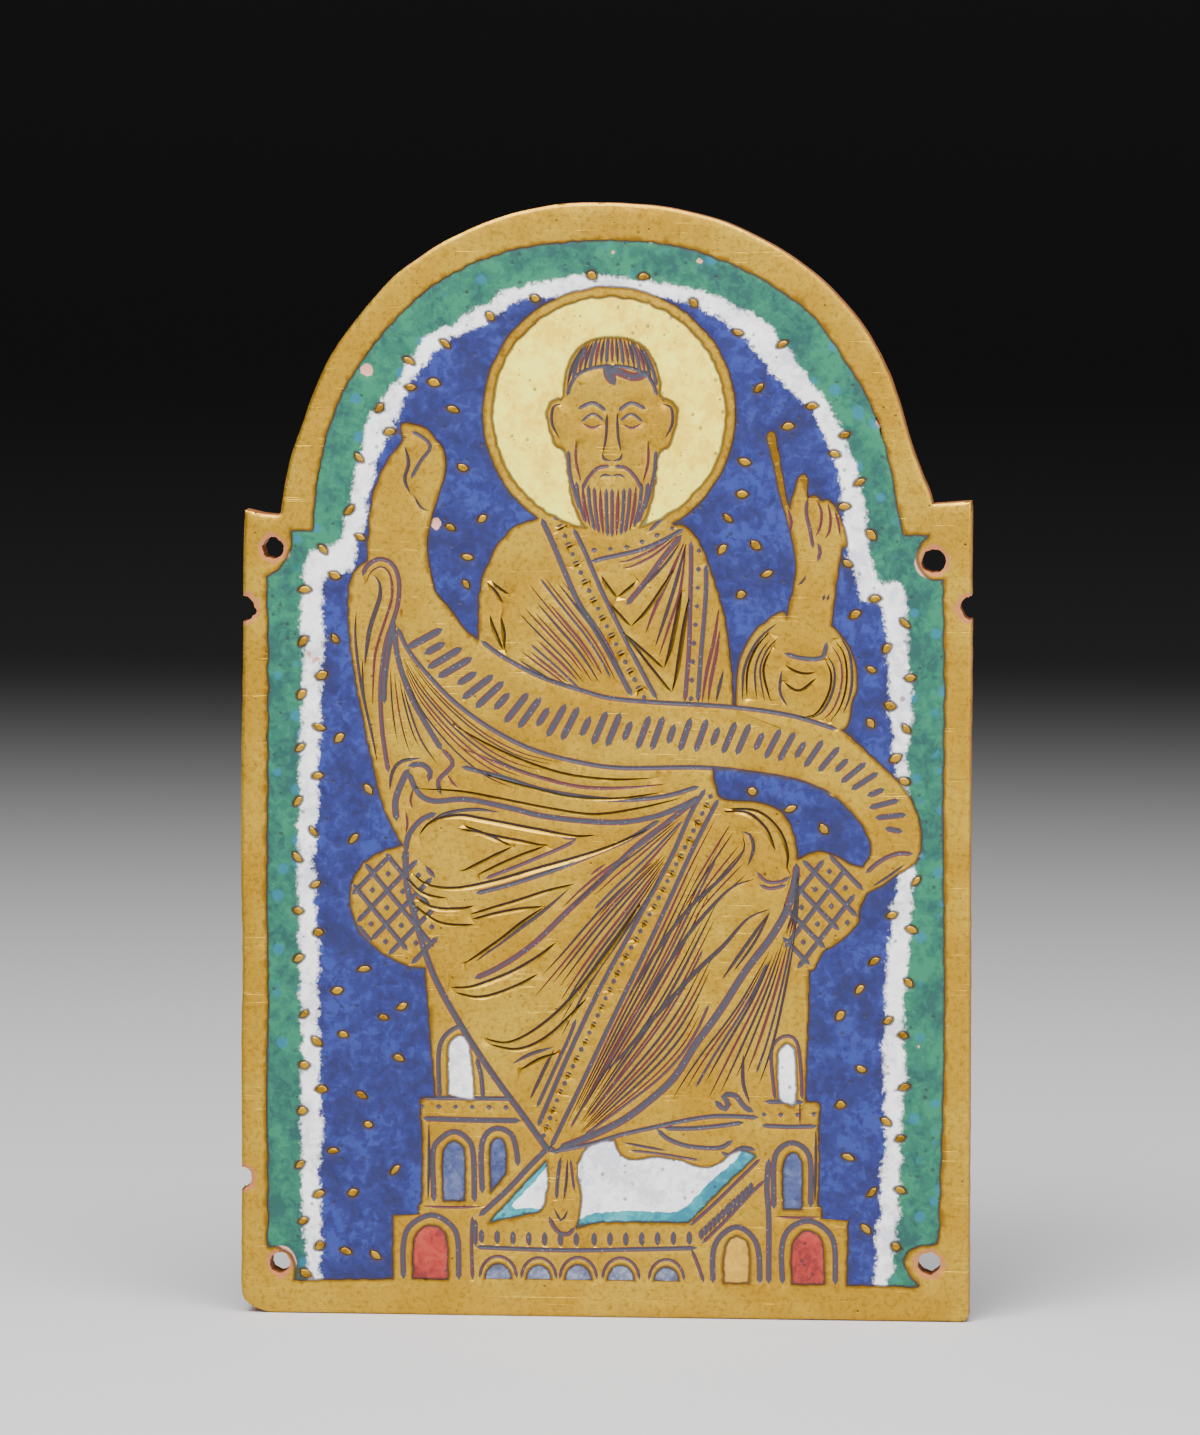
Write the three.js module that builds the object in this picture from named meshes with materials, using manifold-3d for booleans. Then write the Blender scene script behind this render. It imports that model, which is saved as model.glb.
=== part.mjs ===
// A reliquary plaque: an arched plate of gilded copper. Cells are cut in its front and filled
// with enamel, and a seated figure with a scroll is left standing in the metal between them.
//
// Millimetres. X runs across the plate and Z up, and the front faces -Y.
// The origin is the middle of the flat back.
// Outlines and engraved lines are drawn as pairs of X and Z, counted from the plate's middle.

import * as THREE from "three";
import { mergeVertices } from "three/addons/utils/BufferGeometryUtils.js";
import Module from "manifold-3d";

const wasm = await Module();
wasm.setup();

// The plate
const THICKNESS = 2.6;
const CELL_DEPTH = 0.9;
const GLASS_GAP = 0.05;
const FRONT = THICKNESS;
const FLOOR = THICKNESS - CELL_DEPTH;
const BOTTOM = -43.6;
const SPRING_LINE = 16.5;
const LEDGE_CLEAR = 0.6;

// The frame strip, from its outer to its inner edge
const PLATE_EDGE = {
  middle: 0.15, half: 25.6, rise: 27.4, fullness: 2.0,
  left: -28.6, right: 28.9, leftLedge: 19.6, rightLedge: 20.5, bottom: BOTTOM, wornCorner: 2.2,
};
const FIELD_EDGE = {
  middle: 0.2, half: 23.0, rise: 24.5, fullness: 2.15,
  left: -26.5, right: 26.7, leftLedge: 18.4, rightLedge: 18.0, bottom: -40.9,
};

// The inner edges of the green and of the white band, which waver where the glass ran. The waver
// is two waves of one size along the edge, a quick and a slow one.
const WAVES = { quick: 1.3, slow: 0.47, apart: 1 };
const GREEN_EDGE = {
  middle: 0.4, half: 20.8, rise: 21.5, fullness: 2.1,
  left: -23.6, right: 23.7, leftLedge: 16.6, rightLedge: 14.3, bottom: -42, waver: 0.22,
};
const WHITE_EDGE = {
  middle: 0.2, half: 19.2, rise: 20.2, fullness: 2.1,
  left: -22.2, right: 22.3, leftLedge: 15.0, rightLedge: 12.7, bottom: -42, waver: 0.18,
};

// Nail holes in the four corners, each in a reserved lug, and the three notches worn in the edges
const NAIL_HOLES = [
  { at: [-25.8, 16.8], radius: 0.86, across: -1, up: 1 },
  { at: [25.8, 16.1], radius: 0.94, across: 1, up: 1 },
  { at: [-25.5, -39.6], radius: 0.82, across: -1, up: -1 },
  { at: [25.7, -39.0], radius: 0.9, across: 1, up: -1 },
];
const LUG = { radius: 1.3, reach: 3, inset: 0.95 };
const NOTCHES = [
  { at: [-28.2, 12.2], radius: 1.0 },
  { at: [28.9, 12.5], radius: 1.05 },
  { at: [-28.7, -32.9], radius: 1.0 },
];

// The halo and the head
const HALO = { at: [0.5, 27.4], outer: 9.8, inner: 9.1 };
const HEAD = { middle: 0.8, crown: 33.2, beardEnd: 17.6, halfWidth: 4.15, widest: 0.56, taper: 0.3 };
const EAR = { out: 4.2, height: 26.2, halfWidth: 0.75, halfHeight: 1.5 };

// The face is set out on even thirds between hairline and chin. Its lines are drawn for one side,
// as steps across from the middle and up from a level. The locks and the beard's strands fan out.
const HAIRLINE = 31.3;
const CHIN = 20.2;
const EYE_DROP = 0.8;
const FACE_LINES = [
  { level: "brow", path: [[0.5, -0.2], [1.6, 0.25], [2.9, -0.35]] },
  { level: "eye", path: [[0.75, 0], [1.55, 0.42], [2.4, -0.05]] },
  { level: "noseEnd", path: [[0.45, 3.1], [0.4, 1.7], [0.75, 0.2]] },
  { level: "mouth", path: [[0.15, 0.6], [1.1, 0], [1.9, -0.9]] },
  { level: "noseEnd", path: [[3.2, 3.8], [3.3, 0], [2.5, -3.1]] },
];
const LOCKS = { count: 7, across: [2.3, 3.0, 3.1], up: [1.3, 0.2, -1.1], droop: [0.9, 0, 0.6] };
const STRANDS = { count: 6, across: [2.1, 2.3, 1.6], up: [0.9, -0.6, -1.9], droop: [0, 0, 0] };

// The scroll's middle line from its left end, its half width at each of those points, and the
// slanting strokes that stand for its writing
const SCROLL_MIDDLE = [
  [-15.6, 11.2], [-12.9, 9.4], [-10.0, 6.7], [-7.4, 4.8], [-1.3, 2.9], [7.5, 2.4], [15.7, 1.2],
  [19.3, -0.5], [21.8, -3.0], [22.9, -6.5],
];
const SCROLL_HALF_WIDTHS = [1.2, 2.1, 2.75, 3.0, 2.8, 2.6, 2.35, 2.15, 2.05, 1.85];
const SCROLL_BORDER = { inset: 0.45, from: -14, to: 21 };
const SCROLL_STROKES = { count: 22, long: 2.4, short: 1.5, lean: 0.45 };

// The cushion's two ends, and the doorways and windows of the throne
const CUSHIONS = [
  { at: [-15.1, -11.2], halfWidth: 4.7, halfHeight: 4.6 },
  { at: [16.1, -10.5], halfWidth: 3.95, halfHeight: 3.7 },
];
const WINDOWS = [
  { name: "white_window_left", glass: "white", middle: -11.0, half: 0.95, foot: -26.2, top: -21.4 },
  { name: "white_window_right", glass: "white", middle: 14.45, half: 0.78, foot: -26.2, top: -21.9 },
  { name: "blue_window_left_outer", glass: "window", middle: -11.7, half: 0.9, foot: -34.5, top: -29.7 },
  { name: "blue_window_left_inner", glass: "window", middle: -8.15, half: 0.62, foot: -33.4, top: -29.5 },
  { name: "blue_window_right", glass: "window", middle: 14.95, half: 0.8, foot: -34.9, top: -30.3 },
  { name: "red_arch_left", glass: "red", middle: -13.6, half: 1.4, foot: -40.9, top: -36.3 },
  { name: "red_arch_right", glass: "red", middle: 16.2, half: 1.3, foot: -40.9, top: -36.3 },
  { name: "yellow_arch", glass: "yellow", middle: 10.6, half: 1.05, foot: -40.9, top: -36.8 },
];

// How far outside each window a line is engraved round it
const SURROUND = 0.72;

const STOOL_ARCHES = [-8.2, -5.05, -1.9, 1.5, 5.1];
const STOOL_ARCH = { half: 1.05, foot: -40.6, top: -39.0 };

// Gold drops stand along the inner edges of the green and the white, and scattered in the blue.
const DROP_SIZE = 0.58;
const DROP_PITCH = 6.2;
const DROPS_APART = 1.9;
const DROP_CORNERS = [-1.9, -0.3, 1.9];
const DROP_TURN = 2.4;
const ROW_STARTS = { green: 0.5, white: 0.2 };
const BLUE_DROPS = [
  [-20.8, 9.8], [-20.5, 1.8], [-18.5, -2.2], [-19.4, -6.1], [-18.7, -16.4], [-20.9, -17.8],
  [-15.8, -19.0], [-17.2, -20.2], [-20.4, -21.6], [-16.1, -23.4], [-19.0, -26.4], [-18.4, -28.4],
  [-21.2, -30.8], [-16.2, -32.2], [-19.7, -33.8], [-20.3, -38.8], [-17.8, -38.8], [-10.8, 23.3],
  [-9.7, 20.7], [-11.9, 18.3], [-9.3, 19.0], [-10.5, 16.3], [-10.8, 14.0], [-11.7, 27.5], [-13.2, 29.6],
  [11.2, 23.9], [10.9, 21.4], [9.9, 19.4], [12.1, 17.4], [9.5, 16.8], [12.8, 15.1], [10.9, 13.2],
  [12.1, 29.6], [14.5, 26.3], [19.8, 11.7], [21.1, 7.7], [20.8, 3.3], [11.8, -1.8], [14.7, -3.2],
  [17.5, -4.8], [21.4, -15.4], [20.3, -17.6], [18.8, -19.7], [20.4, -23.6], [18.7, -26.8],
  [19.3, -30.8], [21.1, -33.3], [20.6, -36.4],
];

// Engraved lines
const LINE = { width: 0.3, depth: 0.26, lift: 0.12 };
const LATTICE = { pitch: 1.9, rows: [-1.5, -0.5, 0.5, 1.5], fromMiddle: 0.8, steps: 8, within: 0.94 };

// How finely curves are divided
const SIDE_STEP = 5.2;
const ARCH_STEPS = 20;
const CORNER_STEPS = 5;
const WINDOW_STEPS = 4;
const HEAD_STEPS = 18;
const SCROLL_STEPS = 20;
const CURVE_STEP = 2;
const LINE_STEP = 6;
const FACE_STEP = 1.6;
const FAN_STEP = 10;
const GUIDE_STEP = 0.5;
const ROUND_SIDES = 12;
const HALO_SIDES = 24;

// How far a cutter runs past the metal, and the smallest body of glass that is kept
const OVERRUN = 1;
const SMALLEST_BODY = 3;
const SHARPEST = 0.9;

// Small helpers for drawing

function vectors(points) {
  return points.map(([x, z]) => new THREE.Vector2(x, z));
}

function smooth(points, step = CURVE_STEP) {
  const spline = new THREE.SplineCurve(vectors(points));
  const count = Math.max(2, Math.round(spline.getLength() / step));
  return spline.getSpacedPoints(count).map((point) => [point.x, point.y]);
}

function line(points, step = LINE_STEP) {
  return smooth(points, step);
}

function circle([x, z], radius, sides = ROUND_SIDES) {
  return ellipse([x, z], radius, radius, sides);
}

function ellipse([x, z], halfWidth, halfHeight, sides = ROUND_SIDES) {
  return Array.from({ length: sides }, (_, index) => {
    const angle = (2 * Math.PI * index) / sides;
    return [x + halfWidth * Math.cos(angle), z + halfHeight * Math.sin(angle)];
  });
}

function box(left, right, bottom, top) {
  return [[left, bottom], [right, bottom], [right, top], [left, top]];
}

function area(points) {
  return points.reduce((sum, [x, z], index) => {
    const [nextX, nextZ] = points[(index + 1) % points.length];
    return sum + (x * nextZ - nextX * z) / 2;
  }, 0);
}

// Whether a closed outline holds a place
function holds(outline, [x, z]) {
  return outline.reduce((inside, [startX, startZ], index) => {
    const [endX, endZ] = outline[(index + 1) % outline.length];
    const spans = (startZ > z) !== (endZ > z);
    const crossing = startX + ((endX - startX) * (z - startZ)) / (endZ - startZ);
    return spans && x < crossing ? !inside : inside;
  }, false);
}

// Moves each side of a closed outline outwards by a distance.
function grown(outline, distance) {
  const points = area(outline) > 0 ? outline : [...outline].reverse();
  return points.map(([x, z], index) => {
    const [beforeX, beforeZ] = points[(index + points.length - 1) % points.length];
    const [afterX, afterZ] = points[(index + 1) % points.length];
    const arriving = new THREE.Vector2(x - beforeX, z - beforeZ).normalize();
    const leaving = new THREE.Vector2(afterX - x, afterZ - z).normalize();
    const outward = new THREE.Vector2(arriving.y + leaving.y, -arriving.x - leaving.x);
    const reach = (2 * distance) / Math.max(SHARPEST, outward.lengthSq());
    return [x + outward.x * reach, z + outward.y * reach];
  });
}

// The arched outline with a ledge at each shoulder. A wavering edge wanders by a small distance.
function archedOutline(edge) {
  const wander = (along) => {
    const quick = Math.sin(along * WAVES.quick);
    const slow = Math.sin(along * WAVES.slow + WAVES.apart);
    return (edge.waver ?? 0) * (quick + slow);
  };
  const side = (x, from, to) => {
    const count = Math.max(1, Math.round(Math.abs(to - from) / SIDE_STEP));
    return Array.from({ length: edge.waver ? count : 1 }, (_, index) => {
      const z = from + ((to - from) * index) / count;
      return [x + wander(z + x), z];
    });
  };
  const arch = Array.from({ length: ARCH_STEPS + 1 }, (_, index) => {
    const angle = (Math.PI * index) / ARCH_STEPS;
    const power = 2 / edge.fullness;
    const bulge = 1 + wander(index) / edge.half;
    const across = Math.sign(Math.cos(angle)) * Math.abs(Math.cos(angle)) ** power;
    return [
      edge.middle + edge.half * bulge * across,
      SPRING_LINE + edge.rise * bulge * Math.sin(angle) ** power,
    ];
  }).filter(([x, z]) => z > (x > 0 ? edge.rightLedge : edge.leftLedge) + LEDGE_CLEAR);
  const footOf = (ledge) => {
    const height = Math.max(0, ledge - SPRING_LINE) / edge.rise;
    return edge.half * (1 - height ** edge.fullness) ** (1 / edge.fullness);
  };
  const worn = edge.wornCorner ?? 0;
  const corner = Array.from({ length: CORNER_STEPS + 1 }, (_, index) => {
    const angle = (Math.PI / 2) * (index / CORNER_STEPS);
    return [edge.left + worn * (1 - Math.cos(angle)), edge.bottom + worn * (1 - Math.sin(angle))];
  });
  return [
    ...(worn ? corner : [[edge.left, edge.bottom]]),
    ...side(edge.right, edge.bottom, edge.rightLedge),
    [edge.right, edge.rightLedge],
    [edge.middle + footOf(edge.rightLedge), edge.rightLedge],
    ...arch,
    [edge.middle - footOf(edge.leftLedge), edge.leftLedge],
    ...side(edge.left, edge.leftLedge, edge.bottom),
  ];
}

// A doorway or window: straight jambs under a round head
function archWindow({ middle, half, foot, top }, spread = 0) {
  const radius = half + spread;
  const spring = top - half;
  const head = Array.from({ length: WINDOW_STEPS + 1 }, (_, index) => {
    const angle = (Math.PI * index) / WINDOW_STEPS;
    return [middle + radius * Math.cos(angle), spring + radius * Math.sin(angle)];
  });
  return [[middle - radius, foot], [middle + radius, foot], ...head];
}

// Solids

function solidOf(geometry) {
  geometry.deleteAttribute("normal");
  geometry.deleteAttribute("uv");
  const merged = mergeVertices(geometry, 1e-5);
  const mesh = new wasm.Mesh({
    numProp: 3,
    vertProperties: new Float32Array(merged.attributes.position.array),
    triVerts: new Uint32Array(merged.index.array),
  });
  return new wasm.Manifold(mesh);
}

// An outline carried straight through, from one distance in front of the back to another
function prism(outline, from, to) {
  const shape = new THREE.Shape(vectors(outline));
  const geometry = new THREE.ExtrudeGeometry(shape, { depth: to - from, bevelEnabled: false });
  geometry.translate(0, 0, from);
  geometry.rotateX(Math.PI / 2);
  return solidOf(geometry);
}

function joined(solids) {
  return solids.reduce((whole, solid) => whole.add(solid));
}

// The cutter of one engraved line: a V that starts and ends in a point on the surface
function graver(path, { width, depth, lift }) {
  const spread = (width / 2) * (1 + lift / depth);
  const last = path.length - 1;
  const corners = [new THREE.Vector3(path[0][0], -THICKNESS - lift, path[0][1])];
  path.slice(1, last).forEach(([x, z], index) => {
    const [beforeX, beforeZ] = path[index];
    const [afterX, afterZ] = path[index + 2];
    const along = new THREE.Vector2(afterX - beforeX, afterZ - beforeZ).normalize();
    corners.push(new THREE.Vector3(x - along.y * spread, -THICKNESS - lift, z + along.x * spread));
    corners.push(new THREE.Vector3(x + along.y * spread, -THICKNESS - lift, z - along.x * spread));
    corners.push(new THREE.Vector3(x, -THICKNESS + depth, z));
  });
  corners.push(new THREE.Vector3(path[last][0], -THICKNESS - lift, path[last][1]));
  const tip = corners.length - 1;
  const faces = [];
  for (let side = 0; side < 3; side += 1) {
    const next = (side + 1) % 3;
    faces.push(0, 1 + next, 1 + side, tip, tip - 3 + side, tip - 3 + next);
    for (let ring = 1; ring + 3 < tip; ring += 3) {
      faces.push(ring + side, ring + next, ring + 3 + side, ring + next, ring + 3 + next, ring + 3 + side);
    }
  }
  const geometry = new THREE.BufferGeometry().setFromPoints(corners);
  geometry.setIndex(faces);
  return solidOf(geometry);
}

function pathLength(points) {
  return points.slice(1).reduce((sum, [x, z], index) => {
    return sum + Math.hypot(x - points[index][0], z - points[index][1]);
  }, 0);
}

// Lines laid evenly between two guide lines
function fan(guideA, guideB, count, step = FAN_STEP) {
  const ends = [guideA, guideB].map((guide) => smooth(guide, GUIDE_STEP));
  const samples = Math.max(3, Math.round(pathLength(ends[0]) / step));
  const pick = (guide, part) => guide[Math.round(part * (guide.length - 1))];
  return Array.from({ length: count }, (_, row) => {
    const share = count === 1 ? 0.5 : row / (count - 1);
    return Array.from({ length: samples + 1 }, (_, index) => {
      const a = pick(ends[0], index / samples);
      const b = pick(ends[1], index / samples);
      return [a[0] + (b[0] - a[0]) * share, a[1] + (b[1] - a[1]) * share];
    });
  });
}

// The metal left standing in the field

function headOutline() {
  const height = HEAD.crown - HEAD.beardEnd;
  const middle = HEAD.beardEnd + height * HEAD.widest;
  const skull = Array.from({ length: HEAD_STEPS }, (_, index) => {
    const angle = (2 * Math.PI * index) / HEAD_STEPS;
    const upper = Math.sin(angle) > 0;
    const taper = upper ? 1 : 1 - HEAD.taper * Math.sin(angle) ** 2;
    return [
      HEAD.middle + HEAD.halfWidth * taper * Math.cos(angle),
      middle + (upper ? HEAD.crown - middle : middle - HEAD.beardEnd) * Math.sin(angle),
    ];
  });
  const ears = [-1, 1].map((side) => {
    return ellipse([HEAD.middle + side * EAR.out, EAR.height], EAR.halfWidth, EAR.halfHeight);
  });
  return [skull, ...ears];
}

// The scroll hangs from hand to hand in a bow and curls over at its right end.
function scrollOutline(inset = 0) {
  const middle = new THREE.SplineCurve(vectors(SCROLL_MIDDLE));
  const edge = (side) => Array.from({ length: SCROLL_STEPS + 1 }, (_, index) => {
    const part = index / SCROLL_STEPS;
    const place = part * (SCROLL_HALF_WIDTHS.length - 1);
    const low = Math.min(SCROLL_HALF_WIDTHS.length - 2, Math.floor(place));
    const narrow = SCROLL_HALF_WIDTHS[low];
    const half = narrow + (SCROLL_HALF_WIDTHS[low + 1] - narrow) * (place - low) - inset;
    const point = middle.getPoint(part);
    const tangent = middle.getTangent(part);
    return [point.x - tangent.y * half * side, point.y + tangent.x * half * side];
  });
  return [...edge(-1), ...edge(1).reverse()];
}

function scrollTail() {
  return [[21.1, -6.6], [24.6, -5.9], [24.1, -7.6], [20.6, -10.1], [20.0, -8.3]];
}

function robe() {
  return [
    ...smooth([[-9.9, 9.0], [-9.7, 11.3], [-9.3, 13.5], [-8.3, 16.3], [-7.1, 18.2], [-4.8, 19.3]]),
    ...smooth([[-3.3, 20.7], [4.5, 20.7], [6.6, 19.1]]),
    ...smooth([[7.6, 17.2], [8.7, 14.4], [9.6, 11.2], [10.1, 7.8], [10.4, 3.5]]),
    ...smooth([[8.6, -0.2], [9.0, -1.9], [11.4, -2.8], [13.7, -3.4], [14.9, -5.1], [15.4, -7.3]]),
    ...smooth([[15.4, -8.2], [15.1, -13.0], [14.3, -17.6], [13.3, -21.8], [12.3, -27.6]]),
    ...smooth([[9.2, -27.6], [4.1, -28.5], [-0.2, -29.6], [-4.1, -30.5]]),
    ...smooth([[-6.4, -27.3], [-8.7, -24.2], [-11.1, -20.7], [-13.4, -16.4], [-15.0, -10.9],
      [-15.6, -6.3]]),
    ...smooth([[-17.0, -3.9], [-17.7, -0.4], [-18.9, 4.7], [-19.7, 9.4], [-19.9, 13.3], [-19.3, 15.2],
      [-17.9, 16.1], [-16.4, 15.5], [-15.8, 13.7], [-15.6, 12.1]]),
  ];
}

function raisedForearm() {
  return smooth([[-18.4, 14.4], [-18.3, 17.2], [-17.9, 19.9], [-17.2, 22.6], [-15.6, 24.8],
    [-15.8, 26.0], [-15.1, 26.6], [-13.3, 25.8], [-12.2, 24.4], [-12.4, 22.4], [-13.3, 20.3],
    [-13.7, 16.8], [-13.2, 13.7], [-13.3, 11.9], [-16.1, 11.9]], 1.6);
}

function blessingHand() {
  return [
    ...smooth([[14.3, 8.2], [14.8, 13.7], [14.4, 17.2], [13.6, 20.7], [12.9, 23.8], [12.9, 25.7],
      [13.3, 26.0], [13.8, 23.8], [14.5, 20.4]], 1.8),
    ...smooth([[15.1, 21.9], [15.7, 22.8], [15.9, 21.1], [17.4, 20.7], [18.4, 19.5], [19.1, 17.3],
      [18.4, 16.0], [18.3, 13.7], [17.9, 8.2]], 1.6),
  ];
}

function cuff() {
  return smooth([[10.2, 3.5], [10.4, 7.8], [10.9, 9.8], [12.5, 11.4], [15.1, 12.1], [18.1, 11.1],
    [19.3, 9.6], [19.8, 7.3], [19.4, 4.9], [18.6, 2.3]], 1.8);
}

function throneOutlines() {
  return [
    [[-13.7, -15.2], [-13.3, -26.4], [-14.3, -26.4], [-14.3, -35.5], [-16.5, -35.6], [-16.5, -41.7],
      [19.3, -41.7], [19.3, -35.6], [17.0, -35.3], [17.0, -26.4], [16.1, -26.4], [16.1, -14.4],
      [3.0, -10.5]],
    [[14.7, -14.1], [17.2, -14.3], [16.2, -15.8], [14.7, -15.8]],
  ];
}

// Cells cut in the figure, the throne and the footstool

function footstoolCells() {
  const right = [[-1.9, -36.3], [6.9, -36.0], [12.1, -31.0], [12.1, -30.5], [10.4, -30.1], [9.8, -31.0],
    [8.0, -31.5], [6.0, -31.1], [3.0, -31.0], [1.2, -30.5], [1.2, -29.6], [-0.9, -30.3], [-1.7, -31.6],
    [-1.6, -34.2]];
  const left = [[-9.0, -36.0], [-6.0, -35.9], [-4.9, -35.3], [-4.4, -33.9], [-4.4, -31.3]];
  const topRight = [[-3.3, -26.1], [-3.3, -35.3], [6.4, -35.2], [10.3, -30.8], [9.4, -26.1]];
  const topLeft = [[-7.0, -34.9], [-4.8, -34.9], [-3.6, -33.9], [-3.6, -30.8], [-4.4, -31.6]];
  return { right, left, topRight, topLeft };
}

// Gold drops: small half-moons of metal left standing in the glass. One row follows the inner
// edge of the green, one the inner edge of the white, and the rest are scattered in the blue.

function dropOutline([x, z], index) {
  return DROP_CORNERS.map((angle) => {
    const turned = angle + index * DROP_TURN;
    return [x + DROP_SIZE * Math.cos(turned), z + DROP_SIZE * Math.sin(turned)];
  });
}

function rowAlong(outline, pitch, start) {
  const path = new THREE.Path(vectors(outline));
  const count = Math.floor(path.getLength() / pitch);
  return Array.from({ length: count }, (_, index) => {
    const point = path.getPointAt((index + start) / count);
    return [point.x, point.y];
  });
}

function dropPlaces() {
  const greenRow = rowAlong(archedOutline(GREEN_EDGE), DROP_PITCH, ROW_STARTS.green);
  const whiteRow = rowAlong(archedOutline(WHITE_EDGE), DROP_PITCH, ROW_STARTS.white);
  const taken = [...figureOutlines(), ...lugOutlines()].map((outline) => grown(outline, DROP_SIZE));
  return [...greenRow, ...whiteRow, ...BLUE_DROPS].reduce((places, [x, z]) => {
    const covered = taken.some((outline) => holds(outline, [x, z]));
    const inGlass = z > FIELD_EDGE.bottom + 2 * DROP_SIZE && !covered;
    const alone = places.every((place) => Math.hypot(place[0] - x, place[1] - z) > DROPS_APART);
    return inGlass && alone ? [...places, [x, z]] : places;
  }, []);
}

// Engraved lines

function chestLines() {
  return [
    ...fan([[-5.4, 16.8], [-3.3, 13.7], [-0.8, 9.8], [1.6, 6.2]], [[-6.9, 8.4], [-5.5, 7.6],
      [-4.2, 6.9], [-3.1, 6.3]], 4),
    ...fan([[-4.4, 18.6], [-2.3, 14.8], [-0.2, 10.7], [3.0, 5.8]], [[-2.2, 17.2], [-0.2, 13.5],
      [2.3, 9.1], [4.4, 5.8]], 2),
    ...fan([[6.1, 16.9], [4.4, 14.9], [3.0, 13.0], [1.9, 11.5]], [[6.6, 15.2], [6.4, 12.1], [6.1, 9.4],
      [5.8, 6.3]], 4),
    ...fan([[6.9, 16.9], [6.9, 12.9], [6.8, 9.0], [6.7, 5.3]], [[8.0, 16.3], [8.1, 12.9], [8.1, 9.0],
      [8.0, 5.3]], 2),
    line([[-3.3, 16.6], [-0.2, 16.6], [3.0, 17.0], [6.1, 18.3]]),
    line([[-0.4, 14.8], [1.2, 13.3], [3.7, 15.1]]),
    line([[0.6, 12.6], [2.2, 11.0], [3.7, 12.7]]),
    line([[2.2, 9.8], [4.8, 7.6], [5.8, 9.8]]),
    line([[3.4, 7.3], [5.4, 5.7], [6.2, 7.3]]),
    line([[-9.0, 13.8], [-8.4, 12.9], [-7.3, 12.6]]),
    line([[-8.4, 10.9], [-8.0, 9.4], [-7.0, 8.6]]),
  ];
}

function sleeveLines() {
  return [
    line([[-19.2, 13.7], [-18.4, 15.1], [-17.3, 15.4], [-16.4, 14.3], [-16.2, 12.4], [-17.0, 9.4],
      [-17.5, 5.8], [-17.6, 2.3], [-16.8, -0.8]]),
    line([[-17.9, 14.0], [-17.2, 13.5], [-17.3, 11.9], [-18.1, 9.0], [-18.4, 6.6]]),
    line([[-19.3, 12.9], [-19.2, 9.0], [-18.6, 5.1], [-17.9, 0.8], [-16.8, -3.7]]),
    ...fan([[-16.5, 8.2], [-16.7, 5.1], [-16.1, 2.3], [-15.4, 0.8]], [[-15.9, 8.6], [-15.3, 5.5],
      [-14.2, 2.3], [-12.6, -0.8]], 3),
    line([[-16.3, -2.7], [-16.4, -0.8], [-15.6, 0.2], [-13.9, -0.1]]),
    line([[-15.9, -4.8], [-16.2, -3.2], [-15.4, -1.2], [-14.5, -1.9], [-12.9, -3.0]]),
  ];
}

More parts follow.
